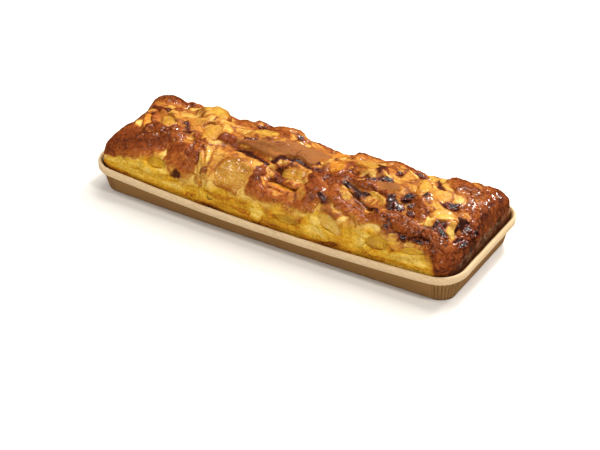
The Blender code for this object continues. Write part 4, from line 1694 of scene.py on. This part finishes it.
    def blisters(self, points: Array, gloss: Array) -> Array:
        """The small round blisters, which come in patches where the crust is glossy.

        Args:
            points: Places in space.
            gloss: The crust's gloss there.

        Returns:
            Their height.
        """
        dots = ease(*self.blister_edge, self.grain.spots_near(points, self.blister_size)[0])
        patches = ease(*self.blister_patch_range, self.grain.smooth(points, self.blister_patch))
        glossy = ease(*self.blister_gloss_range, gloss)
        return self.blister_height * dots * (self.least_blister + patches) * glossy

    def lay_lobes(self, skin: Skin) -> None:
        """Lays the browned lobes of batter over the crust, the least glossy of them smooth and flat.

        Args:
            skin: The crust's state, which changes.
        """
        for lobe in LOBES:
            reach = lobe.reach(skin.x_mm, skin.s_mm)
            inner = np.clip(reach, 0, 1)
            share = ease(*self.lobe_edge, reach)
            smooth = lobe.gloss < self.smooth_gloss
            skin.tone = towards(skin.tone, lobe.tone + self.lobe_lift - self.lobe_shade * inner**2, share)
            skin.gloss = towards(skin.gloss, lobe.gloss, share)
            skin.calm = towards(skin.calm, smooth, share)
            skin.covered = np.maximum(skin.covered, share)
            dome = (1 - inner ** (self.smooth_power if smooth else self.lobe_power)) ** 0.5
            skin.height = np.maximum(skin.height, lobe.rise_mm * MM * dome)

    def pack_chunks(self, skin: Skin, loose: Array) -> None:
        """Packs small lumps of fruit and batter between the lobes, with creases darkened partly as burnt
        batter and partly as painted shade.

        Args:
            skin: The crust's state, which changes.
            loose: Where the lumps lie bare, from 0 to 1.
        """
        x_mm, s_mm = skin.x_mm, skin.s_mm
        slant_x, slant_s = self.chunk_slants
        flat = on_level(self.chunk_run * x_mm + slant_x * s_mm, s_mm - slant_s * x_mm, self.chunk_level) * MM
        nearest, second, value, tilt = self.grain.spots_near(flat, self.chunk_size)
        border = second - nearest
        plate = tilt * ease(*self.plate_edge, border)
        crease = ease(*self.crease_edge, border)
        own = value - 0.5
        lump = self.dome_share * ease(*self.dome_edge, border) + own + self.plate_share * plate
        skin.height += (self.least_chunk + (1 - self.least_chunk) * loose) * self.chunk_height * lump
        # The low side of each tilted plate is darker, partly as juicier fruit and partly as painted shade;
        # the creases between the lumps get painted shade too.
        skin.tone += loose * (self.chunk_tone * own + self.crease_tone * crease - self.plate_tone * plate)
        burnt = ease(*self.burnt_range, self.grain.smooth(flat, self.burnt_size))
        skin.char = self.crease_char * crease * burnt * loose

    def crinkle(self, skin: Skin, even: Array) -> None:
        """Runs thin darker creases of two sizes over the skin, which come and go.

        Args:
            skin: The crust's state, which changes.
            even: Where there are few of them, from 0 to 1.
        """
        share = (1 - skin.crumb) * (1 - self.calm_share * even)
        for size, depth, shade in self.creases:
            line = ease(*self.line_edge, np.abs(self.grain.smooth(skin.points, size)))
            patches = self.grain.smooth(skin.points + self.line_patch_shift, size * self.line_patch_share)
            line *= ease(*self.line_patch_range, patches) * share
            skin.tone += shade * line
            skin.height -= depth * line

    def cut_folds(self, skin: Skin) -> None:
        """Cuts the dark folds between the lobes: their dark tone is partly burnt batter and partly painted
        shade in the creases and under the overhanging lobes, and the darkest get char.

        Args:
            skin: The crust's state, which changes.
        """
        for fold in FOLDS:
            reach = fold.reach(skin.x_mm, skin.s_mm)
            skin.tone = towards(skin.tone, fold.tone, ease(*self.fold_edge, reach))
            skin.height += fold.rise_mm * MM * ease(*self.fold_floor_edge, reach)
            if fold.tone > self.burnt_tone:
                skin.char = np.maximum(skin.char, self.burnt_share * ease(*self.burnt_edge, reach))

    def crumb_mask(self, x_mm: Array, s_mm: Array) -> Array:
        """Where the crumb is bare, along the tray's long sides.

        Args:
            x_mm: Places along the loaf.
            s_mm: Places across the crust.

        Returns:
            1 on the bare crumb and 0 on the crust.
        """
        bare = np.maximum(-above_edge(x_mm, s_mm), s_mm - line_at(BACK_EDGE_MM, x_mm))
        harder = self.left_harder_mm * ease(*self.left_range_mm, x_mm)
        softer = self.right_softer_mm * ease(*self.right_range_mm, x_mm)
        return ease(-1, 1, bare / (self.edge_soft_mm - harder + softer))

    def fit_round_slices(self, skin: Skin) -> None:
        """Clears the relief from the slices and lets the batter lap over parts of their borders.

        Args:
            skin: The crust's state, which changes.
        """
        ragged = self.grain.drift(skin.points, *self.outline_drift)
        for number, place in enumerate(SLICES, start=1):
            along, across = turned(skin.x, skin.s, place.x, place.s, place.turn)
            around = np.arctan2(across / place.width, along / place.length)
            circle = on_level(np.cos(around), np.sin(around), number * 1.7)
            least = self.crumb_laps if place.s < CRUMB_BELOW else self.crust_laps
            laps = np.maximum(ease(-0.1, 0.3, self.grain.smooth(circle, self.lap_size)), least)
            distance = oval_distance(place, skin.x, skin.s) * ragged
            over_border = ease(*self.lap_outer_edge, distance) * ease(*self.lap_inner_edge, distance)
            lap = laps * ease(*self.lap_width_range, place.width) * over_border
            top = place.lift + place.thickness * self.slice_top + self.lap_rise
            skin.height *= 1 - ease(*self.bed_edge, distance)
            skin.height = np.maximum(skin.height, lap * top)
            skin.tone += self.lap_tone * lap

    def scorch_scraps(self, skin: Skin) -> None:
        """Darkens the crust round the scraps of caramel and makes it glossy.

        Args:
            skin: The crust's state, which changes.
        """
        for scrap in SCRAPS:
            near = ease(*self.scorch_edge, oval_distance(scrap, skin.x, skin.s))
            skin.tone = towards(skin.tone, self.scorched_tone, self.scorch_share * near)
            skin.gloss = towards(skin.gloss, 1, near)

    def close(self, points: Array, values: dict[str, Array]) -> bpy.types.Object:
        """Closes the grid with walls down to the tray's floor.

        Args:
            points: The grid's points.
            values: The values at the points.

        Returns:
            The closed piece.
        """
        flat = points.reshape(-1, 3)
        number = np.arange(len(flat)).reshape(points.shape[:2])
        ring = np.concatenate([number[:, 0], number[-1, 1:], number[-2::-1, -1], number[0, -2:0:-1]])
        foot = flat[ring].copy()
        tray = self.form.tray
        over = np.maximum(np.abs(foot[:, :2]) - tray.core, 0) * np.sign(foot[:, :2])
        foot[:, :2] -= unit(over) * tray.flare
        foot[:, 2] = tray.paper + self.form.fit_gap
        base = np.arange(len(ring)) + len(flat)
        walls = wrapped(np.stack([ring, base])).T[::-1]
        faces = [*grid_faces(number), *grid_faces(walls), base[::-1].tolist()]
        whole = {name: np.append(value, np.ravel(value)[ring]) for name, value in values.items()}
        return add_mesh("crust", np.concatenate([flat, foot]), faces, whole)


@dataclass
class FruitSlice:
    """One slice of fruit baked into the crust."""

    form: CrustForm
    grain: Grain
    place: SlicePlace
    number: int
    sides: int = 64
    rings: int = 28
    sunk_share: float = 0.22
    wobble: float = 0.12
    fine_wobble: float = 0.06
    narrow: float = 0.005
    gentle_roast: float = 0.35
    burnt_end: float = 0.8
    bluntness: float = 0.5
    fullness: float = 0.8
    squareness: float = 2.5
    bend_share: float = 0.22
    scoop: float = 0.0007
    ripple: float = 0.00035
    ripple_size: float = 0.0042
    ridge: float = 0.00022
    ridge_size: float = 0.0024

    def make(self, material: bpy.types.Material) -> bpy.types.Object:
        """Builds and dresses the slice.

        Args:
            material: The fruit's finish.

        Returns:
            The piece, which stands for the solid slice.
        """
        place = self.place
        directions, faces = self.ball()
        rim = ease(0.93, 0.45, np.abs(directions[:, 2]))
        base = self.form.place_frame(place.x, place.s)
        lift = base.to_3x3() @ Vector((0, 0, place.lift - place.thickness * self.sunk_share))
        frame_here = self.form.place_frame(place.x, place.s, place.turn, place.lean)
        points = moved(self.shape(directions), frame_here) + np.array(lift)
        values = {"rim": rim, "roast": self.roast(directions, rim)}
        obj = add_mesh(f"fruit_{self.number:02d}", points, faces, values)
        settle(obj, material, Slot.FRUIT, f"apple_slice_{self.number:02d}")
        return obj

    def roast(self, directions: Array, rim: Array) -> Array:
        """How roasted the slice is.

        Args:
            directions: Directions over a ball.
            rim: How near each is to the slice's rim, from 0 to 1.

        Returns:
            Values of 0 to 1, low in the crumb and on narrow slices, and high at one end of an amber slice.
        """
        patches = self.grain.layered(directions * 2 + self.number * 3.1, 1.0, 2)
        # The upper side of each slice is darker, partly roasted more and partly painted shade under the crust
        # above it.
        upper_roast_and_shade = ease(-0.1, 0.9, directions[:, 1])
        roast = rim * 0.55 * (0.6 + patches) + ease(0.25, 0.9, patches) * 0.5 + 0.4 * upper_roast_and_shade
        if self.place.tone is AMBER:
            roast += self.burnt_end * ease(0.2, 0.8, directions[:, 0])
        gentle = self.place.s < CRUMB_BELOW or self.place.width < self.narrow
        return np.clip(roast, 0, 1) * (self.gentle_roast if gentle else 1.0)

    def ball(self) -> tuple[Array, list]:
        """Directions over a ball and the faces that join them.

        Returns:
            The directions, one row each, and the faces.
        """
        polar = math.pi * np.arange(1, self.rings)[:, None] / self.rings
        turn = 2 * math.pi * np.arange(self.sides) / self.sides
        around = [np.cos(turn) * np.sin(polar), np.sin(turn) * np.sin(polar), np.cos(polar) + 0 * turn]
        directions = np.concatenate([[[0, 0, 1]], np.stack(around, axis=-1).reshape(-1, 3), [[0, 0, -1]]])
        last = len(directions) - 1
        number = wrapped(np.arange(1, last).reshape(-1, self.sides))
        head = [(0, here, after) for here, after in zip(number[0], number[0, 1:])]
        foot = [(after, here, last) for here, after in zip(number[-1], number[-1, 1:])]
        return directions, head + grid_faces(number) + foot

    def shape(self, directions: Array) -> Array:
        """The slice's points in its own frame.

        Args:
            directions: Directions over a ball.

        Returns:
            The points, one row each.
        """
        place, number = self.place, self.number
        half = np.array([place.length, place.width, place.thickness]) / 2
        wobble = uneven(directions, self.wobble, 1.9, number * 3.3)
        wobble += self.fine_wobble * self.grain.smooth(directions * (1, 1, 0.3) + number * 1.3, 0.45)
        flat = np.hypot(directions[:, 0], directions[:, 1])
        around = np.abs(directions[:, :2]) / np.maximum(flat, TINY)[:, None]
        square = (around**self.squareness).sum(axis=1) ** (-1 / self.squareness)
        spread = flat**self.fullness / np.maximum(flat, TINY) * np.where(flat > TINY, square, 1.0)
        level = np.sign(directions[:, 2]) * np.abs(directions[:, 2]) ** self.bluntness
        shape = np.stack([directions[:, 0] * spread, directions[:, 1] * spread, level], axis=1)
        reach = np.hypot(shape[:, 0], shape[:, 1])
        shape = shape * half * wobble[:, None]
        shape[:, 2] -= (directions[:, 2] > 0) * self.scoop * np.clip(1 - reach / 0.8, 0, 1)
        ridges = self.grain.layered(on_level(shape[:, 0] * 0.25, shape[:, 1], number), self.ridge_size, 2)
        bend = place.width * self.bend_share
        shape[:, 1] -= bend * (shape[:, 0] / half[0]) ** 2 - bend / 2
        ripple = self.grain.layered(shape + number, self.ripple_size, 3)
        return shape + directions * (ripple * self.ripple + ridges * self.ridge)[:, None]


@dataclass
class CaramelScraps:
    """The scraps of dark caramel on the crust, as one piece."""

    form: CrustForm
    grain: Grain
    fineness: int = 4
    knobs: float = 0.50
    ridges: float = 0.24
    pits: float = 0.09
    rise: float = 0.0014
    lift: float = 0.0005
    curl: float = 0.26
    taper: float = 0.55
    bend: float = 0.45

    def make(self, material: bpy.types.Material) -> bpy.types.Object:
        """Builds and dresses the scraps.

        Args:
            material: The caramel's finish.

        Returns:
            The piece.
        """
        directions, triangles = self.ball()
        lumps = [self.lump(scrap, directions, number) for number, scrap in enumerate(SCRAPS, start=1)]
        points, thin = (np.concatenate(parts) for parts in zip(*lumps))
        faces = [(triangles + number * len(directions)).tolist() for number in range(len(lumps))]
        obj = add_mesh("caramel_scraps", points, sum(faces, []), {"thin": thin})
        settle(obj, material, Slot.CRUST)
        return obj

    def ball(self) -> tuple[Array, Array]:
        """Directions over a ball of even triangles, and the triangles."""
        bpy.ops.mesh.primitive_ico_sphere_add(subdivisions=self.fineness, radius=1.0)
        ball = bpy.context.object
        directions = np.array([vert.co[:] for vert in ball.data.vertices])
        triangles = np.array([face.vertices[:] for face in ball.data.polygons])
        bpy.data.objects.remove(ball)
        return directions, triangles

    def lump(self, scrap: ScrapPlace, directions: Array, number: int) -> tuple[Array, Array]:
        """One knobbly scrap.

        Args:
            scrap: Its place and sizes.
            directions: Directions over a ball.
            number: Picks its own shape.

        Returns:
            Its points, and how thin it is at each, from 0 to 1.
        """
        knob = uneven(directions, self.knobs, 1.4, number * 5.1)
        ridges = 1 - 2 * np.abs(self.grain.smooth(directions + number * 2.3, 0.55))
        pits = self.grain.layered(directions + number * 4.1, 0.3, 2)
        shape = directions * (knob + self.ridges * ridges + self.pits * pits)[:, None]
        reach = np.hypot(shape[:, 0], shape[:, 1])
        shape = shape * np.array([scrap.length / 2, scrap.width / 2, self.rise * 0.75])
        side = math.sin(number * 2.4)
        along = shape[:, 0] / (scrap.length / 2)
        shape[:, 1] *= 1 - self.taper * side * along
        shape[:, 1] += self.bend * side * scrap.width * (along**2 - 0.4)
        shape[:, 2] += self.lift + self.curl * scrap.width * ridges * np.clip(reach, 0, 1) ** 2
        return moved(shape, self.form.place_frame(scrap.x, scrap.s, scrap.turn)), ease(0.55, 1.1, reach) * 0.8


class Ring(NamedTuple):
    """One ring of the tray's section.

    It has its inset, its height under a rim without sag, its shares of the sag and of a pleat's depth, how
    greasy the paper is there, and how much it takes the outer wall's darker colour, which is painted shade.
    """

    inset: float
    height: float
    sag: float
    pleat: float
    grease: float
    wall: float


@dataclass
class PaperTray:
    """The pleated paper tray with its rolled rim."""

    shape: TrayShape
    grain: Grain
    side_steps: int = 150
    end_steps: int = 50
    corner_steps: int = 40
    profile_steps: int = 7
    pleats: int = 9
    pleat_depth: float = 0.0005
    crumples: tuple[Pair, ...] = ((0.014, 0.00022), (0.004, 0.00007))

    def make(self, material: bpy.types.Material) -> bpy.types.Object:
        """Builds and dresses the tray.

        Args:
            material: The paper's finish.

        Returns:
            The piece, which stands for the solid tray.
        """
        stations = self.stations()
        rings = self.rings()
        points, crease = (np.array(parts) for parts in zip(*(self.loop(stations, ring) for ring in rings)))
        grease = np.repeat([ring.grease for ring in rings], len(stations))
        # How much each ring takes the outer wall's painted shade.
        wall = np.repeat([ring.wall for ring in rings], len(stations))
        faces = self.faces(len(rings), len(stations))
        values = {"grease": grease, "wall": wall, "crease": crease}
        obj = add_mesh("tray_paper", points + self.crumple(points), faces, values)
        settle(obj, material, Slot.PAPER, "paper_tray")
        return obj

    def stations(self) -> list[tuple[float, float, float, float]]:
        """Steps round the tray.

        Returns:
            For each step, a core point's x and y, the outward angle and a pleat's depth there, from 0 to 1.
        """
        core_x, core_y = self.shape.core
        corners = [(core_x, -core_y), (core_x, core_y), (-core_x, core_y), (-core_x, -core_y)]
        steps = [self.end_steps, self.side_steps] * 2
        following = corners[1:] + corners[:1]
        stations = []
        for (x, y), (next_x, next_y), first, count in zip(corners, following, (-90, 0, 90, 180), steps):
            for step in range(self.corner_steps + 1):
                share = step / self.corner_steps
                pleat = 0.5 - 0.5 * math.cos(2 * math.pi * share * self.pleats)
                depth = pleat * math.sin(math.pi * share) ** 0.3
                stations.append((x, y, math.radians(first + 90 * share), depth))
            for step in range(1, count):
                share = step / count
                place = x + (next_x - x) * share, y + (next_y - y) * share
                stations.append((*place, math.radians(first + 90), 0.0))
        return stations

    def rings(self) -> list[Ring]:
        """The tray's section, from its inner floor over the rolled rim to its base.

        Returns:
            The rings in that order.
        """
        shape = self.shape
        top, roll, paper = shape.height, shape.roll_thickness, shape.paper
        foot = shape.flare + roll
        half_flare = roll + shape.flare / 2
        under = top - shape.roll_height
        corners = [
            Ring(foot + paper, paper, 0.0, 0.0, 1.0, 0.0),
            Ring(half_flare + paper, top / 2, 0.5, 1.0, 1.0, 0.0),
            Ring(roll + paper * 0.6, top - 0.0010, 1.0, 0.6, 0.8, 0.0),
            Ring(roll * 0.62, top, 1.0, 0.0, 0.10, 0.0),
            Ring(roll * 0.18, top - 0.0005, 1.0, 0.0, 0.0, 0.0),
            Ring(0.0, top - 0.0016, 1.0, 0.0, 0.0, 0.0),
            Ring(0.0001, under + 0.0007, 1.0, 0.1, 0.0, 0.15),
            Ring(roll * 0.4, under, 1.0, 0.2, 0.0, 0.8),
            Ring(roll * 1.25, under + 0.0002, 1.0, 0.6, 0.1, 1.0),
            Ring(half_flare, top / 2 - 0.0012, 0.5, 1.0, 0.0, 1.0),
            Ring(foot - 0.0004, 0.0007, 0.0, 0.6, 0.0, 1.0),
            Ring(foot + 0.0004, 0.0, 0.0, 0.0, 0.0, 1.0),
        ]
        shares = np.arange(self.profile_steps) / self.profile_steps
        rings = []
        for lower, upper_roast_and_shade in zip(corners, corners[1:]):
            rings += [Ring(*(a + (b - a) * share for a, b in zip(lower, upper_roast_and_shade))) for share in shares]
        return rings + corners[-1:]

    def loop(self, stations: list, ring: Ring) -> tuple[Array, Array]:
        """One ring's points and the depth of the creases at each.

        Args:
            stations: The steps round the tray.
            ring: The ring.

        Returns:
            The points, one row each, and the crease mask, which marks the pleats' inner folds for painted
            shade.
        """
        shape = self.shape
        core_x, core_y, angle, pleat = np.array(stations).T
        reach = shape.corner - ring.inset + pleat * self.pleat_depth * ring.pleat
        x = core_x + np.cos(angle) * reach
        y = core_y + np.sin(angle) * reach + np.copysign(shape.bow * shape.to_edge(x), core_y)
        z = ring.height - ring.sag * shape.sag * shape.to_edge(x)
        return np.stack([x, y, z], axis=1), ease(0.55, 0.05, pleat) * (pleat > 0) * ring.pleat

    def crumple(self, grid: Array) -> Array:
        """Small unevenness of the paper, away from its base.

        Args:
            grid: The tray's points.

        Returns:
            How each point moves.
        """
        amount = sum(depth * self.grain.smooth(grid, size) for size, depth in self.crumples)
        move = unit(grid * (1, 1, 0))
        return move * np.where(grid[..., 2] > MM, amount, 0)[..., None]

    def faces(self, rings: int, count: int) -> list:
        """Faces between the rings, with the inner floor and the base."""
        number = np.arange(rings * count).reshape(rings, count)
        return [*grid_faces(wrapped(number).T), number[0, ::-1].tolist(), number[-1].tolist()]


class SoftBox(NamedTuple):
    """A soft light that faces the cake: its name, place, width and height, power in watts and colour."""

    name: str
    place: Triple
    size: Pair
    power: float
    colour: Colour

    def hang(self) -> None:
        """Adds the light to the scene."""
        light = bpy.data.lights.new(self.name, "AREA")
        light.shape = "RECTANGLE"
        light.size, light.size_y = self.size
        light.energy = self.power
        light.color = self.colour
        obj = bpy.data.objects.new(self.name, light)
        obj.location = self.place
        obj.rotation_euler = (-Vector(self.place)).to_track_quat("-Z", "Y").to_euler()
        bpy.context.scene.collection.objects.link(obj)


@dataclass
class Studio:
    """The pale floor, the soft lights and the camera."""

    target: Triple = (0.0068, -0.0133, 0.0)
    azimuth: float = 31.3
    elevation: float = 33.15
    distance: float = 1.056
    lens: float = 102.0
    floor_half: float = 3.0
    floor_steps: int = 24
    surround: Colour = (1.0, 0.96, 0.91)
    surround_strength: float = 0.32
    lights: tuple[SoftBox, ...] = (
        SoftBox("key", (-0.05, 0.50, 1.20), (1.1, 0.8), 13.2, (1.0, 0.955, 0.885)),
        SoftBox("spark", (0.15, 0.80, 1.00), (0.18, 0.18), 8.5, (1.0, 0.97, 0.93)),
        SoftBox("fill", (0.05, -1.10, 0.80), (0.9, 0.6), 5.0, (1.0, 0.955, 0.89)),
        SoftBox("side", (0.62, -0.28, 0.92), (0.14, 0.14), 4.0, (1.0, 0.96, 0.90)),
        SoftBox("front", (-0.55, -0.42, 1.05), (0.20, 0.20), 2.2, (1.0, 0.96, 0.91)),
        SoftBox("glint", (0.45, 0.80, 0.64), (0.18, 0.18), 5.2, (1.0, 0.97, 0.94)),
    )

    def make(self, effects: Effects) -> None:
        """Builds the floor, the lights, the world and the camera.

        Args:
            effects: The shared node groups.
        """
        self.make_floor(effects)
        for light in self.lights:
            light.hang()
        self.make_world()
        self.make_camera()
        bpy.context.scene.view_settings.view_transform = "Standard"

    def make_floor(self, effects: Effects) -> None:
        """Makes a wide floor with a barely uneven finish.

        Args:
            effects: The shared node groups.
        """
        line = np.linspace(-self.floor_half, self.floor_half, self.floor_steps)
        x, y = np.meshgrid(line, line, indexing="ij")
        number = np.arange(x.size).reshape(x.shape)
        floor = add_mesh("floor", on_level(x, y, 0), grid_faces(number), {})
        floor.data.materials.append(FloorFinish().make(effects))
        floor.visible_glossy = False

    def make_world(self) -> None:
        """An even pale surround."""
        world = bpy.data.worlds.new("surround")
        world.use_nodes = True
        background = world.node_tree.nodes["Background"]
        background.inputs["Color"].default_value = (*self.surround, 1.0)
        background.inputs["Strength"].default_value = self.surround_strength
        world.cycles_visibility.glossy = False
        bpy.context.scene.world = world

    def make_camera(self) -> None:
        """The camera at the picture's viewing angle."""
        turn, rise = math.radians(self.azimuth), math.radians(self.elevation)
        flat = math.cos(rise)
        back = Vector((math.sin(turn) * flat, -math.cos(turn) * flat, math.sin(rise)))
        data = bpy.data.cameras.new("camera")
        data.lens = self.lens
        camera = bpy.data.objects.new("camera", data)
        camera.location = Vector(self.target) + back * self.distance
        camera.rotation_euler = (-back).to_track_quat("-Z", "Y").to_euler()
        bpy.context.scene.collection.objects.link(camera)
        bpy.context.scene.camera = camera


def main() -> None:
    """Builds the pieces in order: crust, fruit, caramel, paper, studio."""
    logging.basicConfig(level=logging.INFO, format="%(name)s: %(message)s")
    low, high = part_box("paper_tray")
    tray = TrayShape(length=high.x - low.x, height=high.z)
    form = CrustForm(tray)
    grain = Grain(7)
    effects = Effects()
    Crust(form, grain).make(CrustFinish().make(effects))
    fruit = {tone: FruitFinish(tone).make(effects) for tone in FruitTone}
    for number, place in enumerate(SLICES, start=1):
        FruitSlice(form, grain, place, number).make(fruit[place.tone])
    CaramelScraps(form, grain).make(CaramelFinish().make(effects))
    PaperTray(tray, grain).make(PaperFinish().make(effects))
    Studio().make(effects)


if __name__ == "__main__":
    main()
